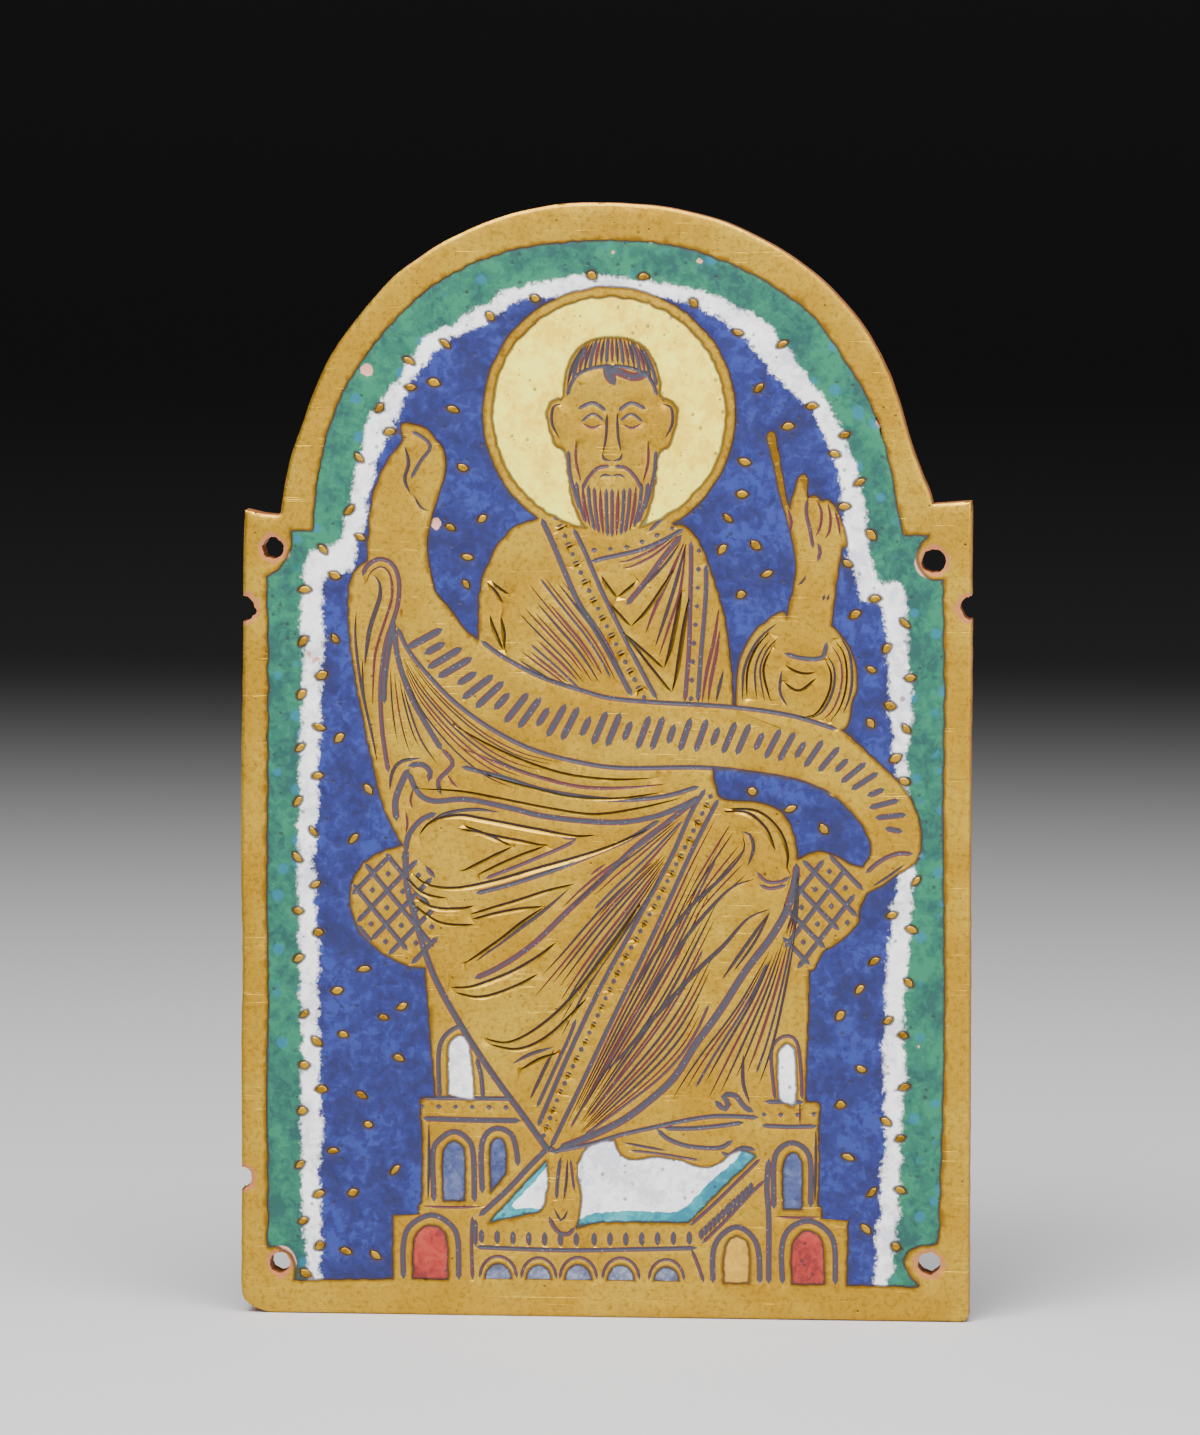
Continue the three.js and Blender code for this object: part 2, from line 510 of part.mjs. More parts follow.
function lapLines() {
  return [
    ...fan([[-15.4, 8.7], [-13.3, 5.3], [-9.9, 2.1], [-6.0, 0.1], [-0.2, -0.7]], [[-15.6, 5.8],
      [-13.6, 1.9], [-10.3, -1.0], [-6.4, -2.7], [-2.1, -3.0]], 5, 3.5),
    ...fan([[-11.9, -2.3], [-8.0, -2.5], [-3.3, -3.4], [1.4, -3.7], [6.5, -2.6]], [[-13.9, -3.1],
      [-10.3, -3.0], [-5.6, -3.9], [1.4, -4.4], [6.9, -3.2]], 2),
    line([[-14.7, -5.5], [-12.6, -4.3], [-9.5, -4.0], [-4.8, -4.9], [-0.5, -5.7]]),
    line([[-10.5, -5.1], [-7.2, -5.9], [-4.4, -6.6], [-8.0, -7.6], [-10.5, -8.3]]),
    line([[-15.1, -9.0], [-13.4, -9.9], [-9.5, -9.7], [-4.1, -8.2], [2.2, -5.8], [6.5, -3.8]]),
    line([[-14.7, -11.2], [-12.6, -11.8], [-8.7, -11.2], [-2.5, -9.8], [-4.8, -11.2], [-9.9, -15.6]]),
    line([[-11.7, -17.8], [-9.1, -18.1], [-6.0, -17.2], [-2.5, -14.8], [1.0, -10.9], [6.1, -5.1]]),
    line([[-8.9, -21.6], [-6.4, -22.1], [-4.1, -21.1], [-1.7, -19.1], [0.3, -16.4]]),
    ...fan([[7.0, -3.2], [4.5, -7.1], [1.1, -13.3], [-1.9, -19.1], [-5.1, -28.5]], [[6.6, -4.4],
      [3.0, -8.3], [-0.2, -11.7], [-4.4, -15.6], [-7.3, -19.3]], 3),
    ...fan([[8.1, -2.7], [5.8, -6.6], [2.5, -13.0], [-0.5, -19.0], [-4.4, -29.2]], [[8.7, -3.2],
      [6.6, -7.1], [3.4, -13.2], [0.4, -19.1], [-3.6, -29.6]], 2, 6),
    ...fan([[9.5, -3.7], [7.3, -7.6], [4.2, -13.5], [1.1, -19.4], [-2.3, -27.7]], [[12.0, -8.3],
      [9.6, -12.1], [6.9, -15.8], [3.7, -20.0], [-0.2, -25.4]], 5, 5),
    line([[14.9, -8.3], [14.1, -10.9], [12.2, -14.0], [10.0, -17.2], [7.6, -21.1], [5.5, -23.9],
      [2.2, -26.3], [-2.7, -28.9]]),
    ...fan([[13.7, -11.5], [12.7, -14.0], [10.5, -17.7], [8.0, -22.2], [5.5, -26.8]], [[15.1, -10.9],
      [14.5, -14.4], [13.6, -18.3], [12.6, -22.2], [11.9, -26.0]], 5, 5),
    line([[9.7, -3.4], [11.5, -3.7], [13.1, -4.6], [14.0, -6.0], [14.4, -7.6]]),
    line([[12.2, -8.0], [12.8, -9.0], [13.9, -9.1], [14.7, -8.5]]),
    line([[7.6, -26.8], [9.4, -26.1], [10.9, -26.8], [10.0, -27.4]]),
    line([[-3.9, -30.0], [-0.2, -29.1], [4.1, -28.0], [9.2, -27.1], [11.9, -27.1]]),
    line([[-15.0, -10.1], [-13.9, -15.1], [-11.1, -20.2], [-8.0, -24.9], [-4.8, -29.9]]),
  ];
}

function cuffLines() {
  return [
    ...fan([[11.4, 5.1], [11.1, 7.4], [11.7, 9.4], [13.1, 10.7], [14.2, 11.3]], [[13.6, 5.1],
      [12.6, 7.0], [12.8, 8.6], [13.4, 9.8], [14.4, 10.4]], 2, 2.5),
    ...fan([[18.4, 10.2], [19.1, 9.0], [19.3, 7.3], [19.1, 5.5], [18.4, 3.7]], [[17.5, 8.8],
      [18.1, 7.9], [18.3, 6.6], [18.1, 5.2], [17.6, 4.1]], 2, 2.5),
    line([[14.1, 9.0], [15.4, 8.5], [17.2, 8.5], [17.8, 9.3]]),
    line([[14.4, 7.4], [15.4, 6.8], [16.8, 7.4]]),
    line([[14.7, 5.5], [15.9, 5.5], [17.3, 6.9]]),
  ];
}

// Lines that fan out from the head's middle, evenly from the left to the right
function spreadLines({ count, across, up, droop }, level) {
  return Array.from({ length: count }, (_, index) => {
    const lean = (2 * index) / (count - 1) - 1;
    return across.map((reach, step) => {
      return [HEAD.middle + lean * reach, level + up[step] - droop[step] * lean ** 2];
    });
  });
}

// Hair in combed locks, brows, eyes, nose, moustache and beard
function headLines() {
  const third = (HAIRLINE - CHIN) / 3;
  const brow = HAIRLINE - third;
  const noseEnd = CHIN + third;
  const levels = { brow, eye: brow - EYE_DROP, noseEnd, mouth: noseEnd - third / 3 };
  const paired = FACE_LINES.flatMap(({ level, path }) => [-1, 1].map((side) => {
    return line(path.map(([across, up]) => [HEAD.middle + side * across, levels[level] + up]), FACE_STEP);
  }));
  return [...paired, ...spreadLines(LOCKS, HAIRLINE), ...spreadLines(STRANDS, CHIN)];
}

// The writing on the scroll is a row of slanting strokes, long and short in turn, and no letters.
function scrollLines() {
  const edge = scrollOutline(SCROLL_BORDER.inset);
  const borders = [edge.slice(0, edge.length / 2), edge.slice(edge.length / 2)].map((path) => {
    return path.filter(([x], index) => index % 2 === 0 && x > SCROLL_BORDER.from && x < SCROLL_BORDER.to);
  });
  const row = new THREE.SplineCurve(vectors(SCROLL_MIDDLE.slice(1)));
  const strokes = Array.from({ length: SCROLL_STROKES.count }, (_, index) => {
    const along = (index + 0.3) / SCROLL_STROKES.count;
    const point = row.getPointAt(along);
    const tangent = row.getTangentAt(along);
    const reach = (index % 3 === 0 ? SCROLL_STROKES.short : SCROLL_STROKES.long) / 2;
    const stepX = (-tangent.y + SCROLL_STROKES.lean * tangent.x) * reach;
    const stepZ = (tangent.x + SCROLL_STROKES.lean * tangent.y) * reach;
    return [
      [point.x - stepX, point.y - stepZ],
      [point.x, point.y],
      [point.x + stepX, point.y + stepZ],
    ];
  });
  return [...borders, ...strokes];
}

function throneLines() {
  const surrounds = WINDOWS.map((window) => {
    const [leftFoot, ...path] = archWindow(window, SURROUND);
    return [...path, leftFoot].filter((place) => !holds(robe(), place));
  });
  return [
    ...surrounds,
    line([[-14.1, -27.9], [-10.3, -27.9], [-6.4, -27.9]], 3),
    line([[4.5, -28.3], [10.8, -28.3], [16.8, -28.3]], 4),
    line([[-9.8, -38.1], [-1.7, -38.1], [6.9, -38.1]], 5),
    line([[7.2, -37.8], [10.4, -34.9], [12.6, -32.5]], 4),
    line([[-10.3, -36.0], [-10.3, -38.2], [-10.2, -40.5]], 4),
    line([[13.1, -31.6], [13.1, -35.9], [13.1, -40.5]], 5),
    line([[-4.2, -30.7], [-6.8, -33.1], [-9.4, -35.6]], 4),
    line([[-3.0, -31.4], [-3.1, -33.5], [-3.2, -35.8]], 3),
  ];
}

// The cushion's woven lozenges, drawn on the part of each end that shows beside the robe
function cushionLines() {
  return CUSHIONS.flatMap(({ at: [x, z], halfWidth, halfHeight }) => {
    const outward = Math.sign(x);
    const robeEdge = Math.abs(x) + LATTICE.fromMiddle;
    const crossings = [-1, 1].flatMap((slope) => LATTICE.rows.map((row) => {
      const start = z + row * LATTICE.pitch - (slope * halfWidth) / 2;
      const places = Array.from({ length: LATTICE.steps + 1 }, (_, index) => {
        const along = (index / LATTICE.steps) * halfWidth;
        return [outward * (robeEdge + along), start + slope * along];
      });
      return places.filter(([placeX, placeZ]) => {
        return Math.hypot((placeX - x) / halfWidth, (placeZ - z) / halfHeight) < LATTICE.within;
      });
    }));
    return crossings.filter(({ length }) => length > 3).map((places) => [
      places[0],
      places[Math.floor(places.length / 2)],
      places[places.length - 1],
    ]);
  });
}

// Solids in the plate's depth

function through(outline) {
  return prism(outline, FLOOR - OVERRUN, FRONT + OVERRUN);
}

function sunk(outline) {
  return prism(outline, FLOOR, FRONT + OVERRUN);
}

function lugOutlines() {
  return NAIL_HOLES.flatMap(({ at: [x, z], across, up }) => {
    const farX = x + across * LUG.reach;
    const farZ = z + up * LUG.reach;
    const nearX = x - across * LUG.radius * LUG.inset;
    const nearZ = z - up * LUG.radius * LUG.inset;
    return [
      circle([x, z], LUG.radius),
      box(Math.min(nearX, farX), Math.max(nearX, farX), Math.min(z, farZ), Math.max(z, farZ)),
      box(Math.min(x, farX), Math.max(x, farX), Math.min(nearZ, farZ), Math.max(nearZ, farZ)),
    ];
  });
}

function figureOutlines() {
  const cushions = CUSHIONS.map(({ at, halfWidth, halfHeight }) => ellipse(at, halfWidth, halfHeight));
  return [
    circle(HALO.at, HALO.outer, HALO_SIDES),
    robe(),
    scrollOutline(),
    scrollTail(),
    raisedForearm(),
    blessingHand(),
    cuff(),
    ...cushions,
    ...throneOutlines(),
  ];
}

// Everything that stands in the field, with a margin round it
function standing(margin) {
  const drops = dropPlaces().map(dropOutline);
  const outlines = [...figureOutlines(), ...lugOutlines(), ...drops];
  return joined(outlines.map((outline) => through(grown(outline, margin))));
}

function headAndRobe(margin) {
  return joined([...headOutline(), robe()].map((outline) => through(grown(outline, margin))));
}

function copperPlate() {
  const fieldCell = sunk(archedOutline(FIELD_EDGE)).subtract(standing(0));
  const haloCell = sunk(circle(HALO.at, HALO.inner, HALO_SIDES)).subtract(headAndRobe(0));
  const { right, left } = footstoolCells();
  const cells = [
    fieldCell,
    haloCell,
    ...WINDOWS.map((window) => sunk(archWindow(window))),
    ...STOOL_ARCHES.map((middle) => sunk(archWindow({ middle, ...STOOL_ARCH }))),
    sunk(right),
    sunk(left),
  ];
  const nails = NAIL_HOLES.map(({ at, radius }) => prism(circle(at, radius), -OVERRUN, FRONT + OVERRUN));
  const notches = NOTCHES.map(({ at, radius }) => prism(circle(at, radius), -OVERRUN, FRONT + OVERRUN));
  const lines = [
    ...chestLines(), ...sleeveLines(), ...lapLines(), ...cuffLines(), ...headLines(), ...scrollLines(),
    ...throneLines(), ...cushionLines(),
  ].map((path) => graver(path, LINE));
  return prism(archedOutline(PLATE_EDGE), 0, FRONT)
    .subtract(joined([...cells, ...nails, ...notches]))
    .subtract(joined(lines));
}

// Enamels

// Glass that fills an outline, a little clear of the walls and of the floor
function glassIn(outline) {
  return prism(grown(outline, -GLASS_GAP), FLOOR + GLASS_GAP, FRONT);
}

// The three fields round the figure: green inside the frame, then white, then the blue ground
function borderGlass() {
  const metal = standing(GLASS_GAP);
  const field = glassIn(archedOutline(FIELD_EDGE)).subtract(metal);
  const greenEdge = archedOutline(GREEN_EDGE);
  const whiteEdge = archedOutline(WHITE_EDGE);
  const half = GLASS_GAP / 2;
  return {
    green: field.subtract(through(grown(greenEdge, half))),
    white: field.intersect(through(grown(greenEdge, -half))).subtract(through(grown(whiteEdge, half))),
    blue: field.intersect(through(grown(whiteEdge, -half))),
  };
}

// The footstool's top is white inside a turquoise edge on its two near sides.
function footstoolGlass() {
  const { right, left, topLeft, topRight } = footstoolCells();
  const inside = (outline) => through(grown(outline, -GLASS_GAP / 2));
  const outside = (outline) => through(grown(outline, GLASS_GAP / 2));
  return {
    footstool_white_right: glassIn(right).intersect(inside(topRight)),
    footstool_turquoise_right: glassIn(right).subtract(outside(topRight)),
    footstool_white_left: glassIn(left).intersect(inside(topLeft)),
    footstool_turquoise_left: glassIn(left).subtract(outside(topLeft)),
  };
}

// Bodies that the figure parts from each other, each named by the corner of the field it lies in
const PARTED = {
  green: [{ name: "green_border", near: [-25, -10] }],
  white: [{ name: "white_band_left_and_top", near: [0, 0] }, { name: "white_band_right", near: [23, -25] }],
  blue: [
    { name: "blue_ground_lower_left", near: [-18, -13] },
    { name: "blue_ground_upper_left", near: [-11, 23] },
    { name: "blue_ground_lower_right", near: [17, -20] },
    { name: "blue_ground_upper_right", near: [14, 18] },
  ],
};

function partedBodies(solid, names) {
  return solid.decompose().filter((body) => body.volume() > SMALLEST_BODY).map((body) => {
    const { min, max } = body.boundingBox();
    const middle = new THREE.Vector2((min[0] + max[0]) / 2, (min[2] + max[2]) / 2);
    const distance = ({ near }) => middle.distanceTo(new THREE.Vector2(...near));
    const nearest = names.reduce((best, name) => (distance(name) < distance(best) ? name : best));
    return [nearest.name, body];
  });
}

// Finishes, as the colours stand in the light

function finish(color, roughness, metalness) {
  return () => new THREE.MeshStandardMaterial({ color, roughness, metalness });
}

const FINISHES = {
  gilt: finish(0xcda55a, 0.35, 1),
  green: finish(0x2f8f78, 0.3, 0),
  white: finish(0xe6e6e4, 0.35, 0),
  blue: finish(0x34499f, 0.3, 0),
  halo: finish(0xefdca2, 0.35, 0),
  window: finish(0x6e82b8, 0.35, 0),
  red: finish(0xc9473f, 0.35, 0),
  yellow: finish(0xd2c070, 0.35, 0),
  turquoise: finish(0x1f8a94, 0.3, 0),
  grey: finish(0x5c5c6e, 0.4, 0),
};

function meshOf(name, solid, glass) {
  const { numProp, vertProperties, triVerts } = solid.getMesh();
  const positions = Array.from(vertProperties).filter((_, index) => index % numProp < 3);
  const geometry = new THREE.BufferGeometry();
  geometry.setAttribute("position", new THREE.Float32BufferAttribute(positions, 3));
  geometry.setIndex(Array.from(triVerts));
  geometry.computeVertexNormals();
  const mesh = new THREE.Mesh(geometry, FINISHES[glass]());
  mesh.name = name;
  return mesh;
}

const plaque = new THREE.Group();
plaque.add(meshOf("copper_plate", copperPlate(), "gilt"));

for (const [glass, solid] of Object.entries(borderGlass())) {
  for (const [name, body] of partedBodies(solid, PARTED[glass])) {
    plaque.add(meshOf(name, body, glass));
  }
}

const haloDisc = circle(HALO.at, HALO.inner, HALO_SIDES);
plaque.add(meshOf("halo_enamel", glassIn(haloDisc).subtract(headAndRobe(GLASS_GAP)), "halo"));

for (const window of WINDOWS) {
  plaque.add(meshOf(window.name, glassIn(archWindow(window)), window.glass));
}

for (const [name, solid] of Object.entries(footstoolGlass())) {
  plaque.add(meshOf(name, solid, name.includes("white") ? "white" : "turquoise"));
}

STOOL_ARCHES.forEach((middle, index) => {
  const outline = archWindow({ middle, ...STOOL_ARCH });
  plaque.add(meshOf(`footstool_arch_${index + 1}`, glassIn(outline), "grey"));
});

export default plaque;
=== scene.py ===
"""The looks of an enamelled reliquary plaque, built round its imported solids.

The front is drawn on a sheet of small squares, counted to the right and down. One triangulation of
all its outlines and engraved lines is shared out between the copper and the glass, so that every
piece meets its neighbours. The script is laid out as an add-on and run as a script.
"""

import functools
import math

import bpy
import numpy as np
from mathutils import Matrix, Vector, geometry, kdtree


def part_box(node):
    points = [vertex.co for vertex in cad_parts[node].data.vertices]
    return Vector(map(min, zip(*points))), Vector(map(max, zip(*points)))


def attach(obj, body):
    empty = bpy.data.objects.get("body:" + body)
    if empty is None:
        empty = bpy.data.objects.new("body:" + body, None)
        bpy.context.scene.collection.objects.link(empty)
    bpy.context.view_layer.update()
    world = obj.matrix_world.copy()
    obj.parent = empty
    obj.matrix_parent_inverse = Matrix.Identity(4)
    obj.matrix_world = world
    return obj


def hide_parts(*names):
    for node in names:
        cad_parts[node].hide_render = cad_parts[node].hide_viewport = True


bl_info = {
    "name": "Enamelled reliquary plaque",
    "version": (1, 0, 0),
    "blender": (4, 5, 0),
    "location": "View3D > Sidebar > Plaque",
    "description": "Builds the looks of an arched enamelled plaque round its packed solids",
    "category": "Object",
}

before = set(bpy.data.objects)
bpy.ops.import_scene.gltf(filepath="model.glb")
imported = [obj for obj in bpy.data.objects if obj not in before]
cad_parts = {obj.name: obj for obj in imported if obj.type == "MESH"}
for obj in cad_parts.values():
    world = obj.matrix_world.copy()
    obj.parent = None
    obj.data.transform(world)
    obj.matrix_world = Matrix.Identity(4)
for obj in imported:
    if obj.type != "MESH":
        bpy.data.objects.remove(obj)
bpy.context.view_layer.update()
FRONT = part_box("copper_plate")[0].y
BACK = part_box("copper_plate")[1].y
GLASS_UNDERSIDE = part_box("green_border")[1].y
CELL_FLOOR = GLASS_UNDERSIDE + 0.00005
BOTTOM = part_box("copper_plate")[0].z

# The drawing sheet: the size of a square in metres, and the square that lies over the origin
SQUARE = 0.000078
SHEET_ORIGIN = (602.0, 765.0)

# Outlines. Each is a list of runs: a run is a smooth curve through its places, and runs meet in corners.
PLATE = [
    [(262, 1323), (500, 1323.5), (800, 1323), (965, 1323)],
    [(965, 1323), (971, 1318)],
    [(971, 1318), (971, 1000), (970.5, 800), (971, 620), (970.5, 560), (971, 508)],
    [(970, 500), (940, 502), (932, 503)],
    [(931, 500), (928, 490), (912, 450), (897, 400), (884, 366), (860, 324), (820, 280), (780, 251),
     (740, 230), (700, 216), (650, 207), (600, 204), (560, 206), (529, 211), (493, 221), (447, 241),
     (417, 260), (391, 280), (356, 320), (328, 360), (310, 400), (303, 420), (289, 460), (281, 500),
     (279, 514)],
    [(277, 517), (262, 516), (244, 512)],
    [(243, 512), (241, 560), (240.5, 640), (238.5, 750), (237.5, 860), (238.5, 960), (237, 1050),
     (237, 1150), (236.5, 1240), (236, 1280)],
    [(236, 1280), (236, 1298), (239, 1310), (248, 1318), (262, 1323)],
]
FIELD = [
    [(290, 1291), (400, 1288), (500, 1289), (620, 1288), (760, 1290), (850, 1288), (920, 1289)],
    [(922, 1287), (912, 1276), (907, 1262), (914, 1251), (926, 1247), (940, 1245)],
    [(941, 1240), (945, 1100), (946, 1000), (945, 900), (944, 800), (945, 700), (944, 640), (943, 578)],
    [(943, 577), (930, 576), (921, 568), (917, 556), (921, 543), (929, 534)],
    [(928, 533), (904, 533)],
    [(903, 531), (898, 510), (891, 470), (880, 428), (866, 394), (853, 372), (815, 318), (780, 291),
     (740, 268), (680, 247), (620, 241), (560, 243), (520, 249), (475, 263), (430, 288), (390, 325),
     (350, 378), (330, 420), (320, 458), (313, 500), (311, 529)],
    [(310, 531), (289, 532)],
    [(288, 534), (289, 550), (281, 565), (273, 573), (264, 578)],
    [(264, 580), (265, 660), (264, 800), (263, 900), (264, 1000), (262, 1100), (263, 1200), (262, 1256)],
    [(262, 1257), (275, 1258), (286, 1265), (291, 1277), (289, 1290)],
]
GREEN_INNER = [
    [(305, 1300), (304, 1288), (302, 1250), (298, 1200), (298, 1100), (300, 1050), (298, 1000),
     (296, 900), (297, 800), (300, 700), (302, 650), (299, 620), (303, 590), (305, 560), (312, 552),
     (330, 548), (340, 535), (348, 505), (362, 445), (372, 415), (392, 388), (408, 362), (425, 340),
     (450, 325), (480, 308), (505, 292), (540, 284), (580, 277), (640, 280), (680, 287), (720, 300),
     (760, 320), (783, 345), (805, 378), (830, 405), (845, 440), (858, 480), (866, 520), (872, 565),
     (880, 580), (900, 584), (905, 600), (908, 650), (911, 700), (906, 780), (916, 830), (915, 865),
     (912, 900), (907, 985), (903, 1020), (908, 1080), (903, 1110), (900, 1210), (897, 1250),
     (889, 1288), (889, 1300)],
]
WHITE_INNER = [
    [(318, 1300), (318, 1288), (316, 1200), (318, 1120), (314, 1000), (317, 960), (311, 900),
     (312, 850), (315, 800), (318, 700), (321, 650), (321, 600), (326, 577), (350, 571), (353, 558),
     (361, 530), (374, 470), (385, 440), (398, 415), (410, 385), (428, 360), (455, 338), (485, 322),
     (515, 303), (555, 297), (600, 300), (655, 298), (690, 305), (730, 325), (755, 350), (780, 380),
     (805, 402), (825, 435), (838, 470), (843, 510), (845, 545), (857, 580), (862, 598), (880, 603),
     (887, 640), (890, 690), (893, 748), (900, 800), (898, 875), (892, 920), (888, 980), (885, 1060),
     (886, 1150), (881, 1210), (876, 1288), (876, 1300)],
]

# The metal that stands in the field
BODY = [
    [(478, 640), (479, 600), (482, 580), (490, 560), (498, 545), (510, 531), (525, 523), (541, 518)],
    [(541, 518), (556, 524), (572, 540), (612, 548), (650, 542), (668, 526), (683, 525)],
    [(683, 525), (693, 533), (701, 545), (713, 578), (725, 620), (730, 660), (733, 702)],
    [(735, 720), (712, 768)],
    [(713, 770), (716, 786), (722, 799), (748, 801), (772, 806), (786, 817), (794, 834), (798, 858)],
    [(799, 860), (800, 885), (797, 925), (788, 975), (775, 1035), (766, 1095), (760, 1119)],
    [(758, 1119), (720, 1119), (690, 1123), (655, 1131), (622, 1139), (590, 1150), (550, 1158)],
    [(549, 1157), (524, 1121), (490, 1075), (460, 1028), (431, 975), (411, 912), (404, 880), (404, 850)],
]
SLEEVE = [
    [(347, 612), (348, 588), (353, 574), (365, 563), (380, 560), (392, 566), (398, 582), (401, 612)],
    [(402, 614), (440, 690), (560, 800), (500, 860)],
    [(500, 861), (403, 852)],
    [(402, 850), (390, 826), (381, 806), (370, 760), (360, 710), (354, 680), (349, 645), (347, 613)],
]
FOREARM = [
    [(366, 566), (368, 530), (370, 510), (374, 490), (381, 474), (388, 460), (396, 450), (403, 441),
     (401, 433), (400, 427), (404, 424), (412, 425), (425, 430), (435, 440), (442, 450), (445, 463),
     (443, 478), (436, 500), (428, 530), (426, 552), (433, 590)],
    [(433, 592), (400, 612), (372, 600)],
]
SCROLL = [
    [(400, 610), (416, 599), (430, 589)],
    [(431, 588), (450, 612), (468, 634), (487, 647), (515, 665), (550, 680), (590, 692), (640, 698),
     (700, 701), (760, 707), (815, 718), (842, 729), (864, 748), (886, 768), (900, 782), (911, 798),
     (919, 820), (921, 842), (917, 858), (909, 866)],
    [(905, 869), (865, 894)],
    [(864, 893), (859, 874)],
    [(860, 872), (869, 857), (872, 848), (868, 834), (858, 817), (840, 799), (818, 786), (795, 778),
     (745, 770), (700, 767), (660, 768), (620, 767), (560, 761), (520, 752), (485, 735), (455, 708),
     (425, 675), (402, 645)],
]
HAND = [
    [(784, 655), (788, 612), (794, 585), (796, 560), (792, 537), (786, 515), (780, 494), (774, 465),
     (770, 449), (767, 436), (770, 431), (774, 433), (777, 447), (781, 470), (784, 488), (787, 503)],
    [(789, 508), (793, 494), (798, 478), (803, 473), (807, 478), (806, 493)],
    [(808, 497), (814, 494), (821, 500), (827, 499), (834, 505), (841, 520), (846, 536), (846, 545)],
    [(842, 546), (839, 562), (835, 590), (831, 625), (829, 655)],
]
CUFF = [
    [(737, 710), (737, 688), (740, 659), (751, 636), (766, 621), (784, 611), (790, 640)],
    [(822, 640), (830, 624), (844, 639), (854, 658), (857, 682), (851, 705), (842, 728), (790, 730)],
]
CUSHION_LEFT = [
    [(404, 848), (390, 851), (376, 857), (361, 868), (350, 886), (348, 902), (351, 920), (359, 937),
     (372, 950), (392, 963), (410, 970), (428, 972)],
    [(430, 971), (440, 940), (436, 880)],
]
CUSHION_RIGHT = [
    [(797, 859), (807, 855), (820, 851), (835, 855), (848, 861), (859, 865), (869, 869), (869, 888),
     (861, 904), (859, 919), (848, 934), (836, 943), (824, 950), (819, 961), (812, 969), (790, 970)],
    [(788, 968), (780, 920)],
]
THRONE = [
    [(424, 965), (426, 1000), (430, 1050), (434, 1103)],
    [(433, 1104), (420, 1105), (419, 1123)],
    [(420, 1125), (421, 1160), (420, 1209)],
    [(417, 1213), (417, 1221)],
    [(391, 1223), (391, 1305)],
    [(848, 1305), (849, 1223)],
    [(823, 1221), (822, 1210)],
    [(819, 1208), (820, 1165), (819, 1126)],
    [(820, 1124), (820, 1105), (807, 1103)],
    [(806, 1101), (808, 1040), (810, 965)],
    [(808, 964), (600, 900)],
]
# The collar that closes the gap between the beard and the robe
NECK = [[(556, 524), (590, 536), (625, 538), (668, 520), (672, 540), (640, 556), (600, 560), (570, 548), (556, 524)]]
HALO = {"middle": (609, 414), "outer": 126, "inner": 117}
HEAD = [
    [(612, 338), (628, 340), (643, 347), (653, 360), (659, 378), (661, 398), (666, 399), (674, 404),
     (677, 415), (674, 431), (668, 446), (659, 452), (656, 472), (653, 494), (646, 516), (634, 533),
     (612, 541), (590, 533), (578, 516), (571, 494), (568, 472), (565, 452), (556, 446), (550, 431),
     (547, 415), (550, 404), (558, 399), (563, 398), (565, 378), (571, 360), (581, 347), (596, 340),
     (611, 338)],
]

# Cells cut in the throne and the footstool
WINDOWS = {
    "white_window_left": [[(446, 1100), (446, 1062), (447, 1048), (453, 1041), (459, 1039), (466, 1044),
                           (470, 1060), (473, 1102), (464, 1105), (453, 1102)]],
    "white_window_right": [[(779, 1100), (778, 1072), (779, 1052), (784, 1046), (788, 1044), (795, 1048),
                            (797, 1062), (797, 1104), (786, 1105)]],
    "blue_window_left_outer": [[(441, 1207), (440, 1175), (441, 1158), (446, 1149), (453, 1146),
                                (460, 1150), (464, 1160), (464, 1207)], [(463, 1208), (442, 1208)]],
    "blue_window_left_inner": [[(489, 1198), (488, 1160), (490, 1147), (497, 1142), (504, 1147),
                                (506, 1160), (506, 1177)], [(505, 1180), (490, 1199)]],
    "blue_window_right": [[(784, 1211), (783, 1180), (784, 1165), (789, 1156), (794, 1153), (800, 1157),
                           (804, 1168), (804, 1211)], [(803, 1212), (785, 1212)]],
    "red_arch_left": [[(410, 1287), (410, 1258), (413, 1243), (420, 1235), (430, 1232), (440, 1236),
                       (446, 1248), (447, 1287)], [(446, 1288), (411, 1288)]],
    "red_arch_right": [[(793, 1287), (792, 1258), (795, 1243), (802, 1235), (810, 1232), (819, 1236),
                        (825, 1247), (827, 1287)], [(826, 1288), (794, 1288)]],
    "yellow_arch": [[(724, 1287), (724, 1262), (727, 1248), (732, 1241), (738, 1239), (746, 1243),
                     (751, 1254), (751, 1287)], [(750, 1288), (725, 1288)]],
}
STOOL_RIGHT = [
    [(577, 1168), (585, 1153), (598, 1146), (614, 1143)],
    [(615, 1144), (618, 1153), (623, 1160), (635, 1163), (655, 1160), (680, 1163), (700, 1169),
     (715, 1168), (732, 1156), (743, 1152), (756, 1156)],
    [(757, 1159), (725, 1190), (690, 1226)],
    [(688, 1227), (640, 1227), (600, 1228), (576, 1234)],
    [(576, 1232), (580, 1212), (580, 1195), (577, 1183)],
]
STOOL_RIGHT_TOP = [[(560, 1100), (560, 1219), (598, 1217), (640, 1215), (680, 1214), (712, 1183), (742, 1153),
                    (742, 1100)]]
STOOL_LEFT = [
    [(546, 1166), (548, 1185), (545, 1206), (540, 1217)],
    [(539, 1218), (515, 1223), (488, 1229)],
    [(489, 1226), (520, 1192), (544, 1166)],
]
STOOL_LEFT_TOP = [[(560, 1150), (560, 1230), (541, 1215), (511, 1213), (523, 1199), (545, 1174)]]
STOOL_ARCHES = [(497, 14), (538, 13), (578, 14), (621, 14), (667, 13)]
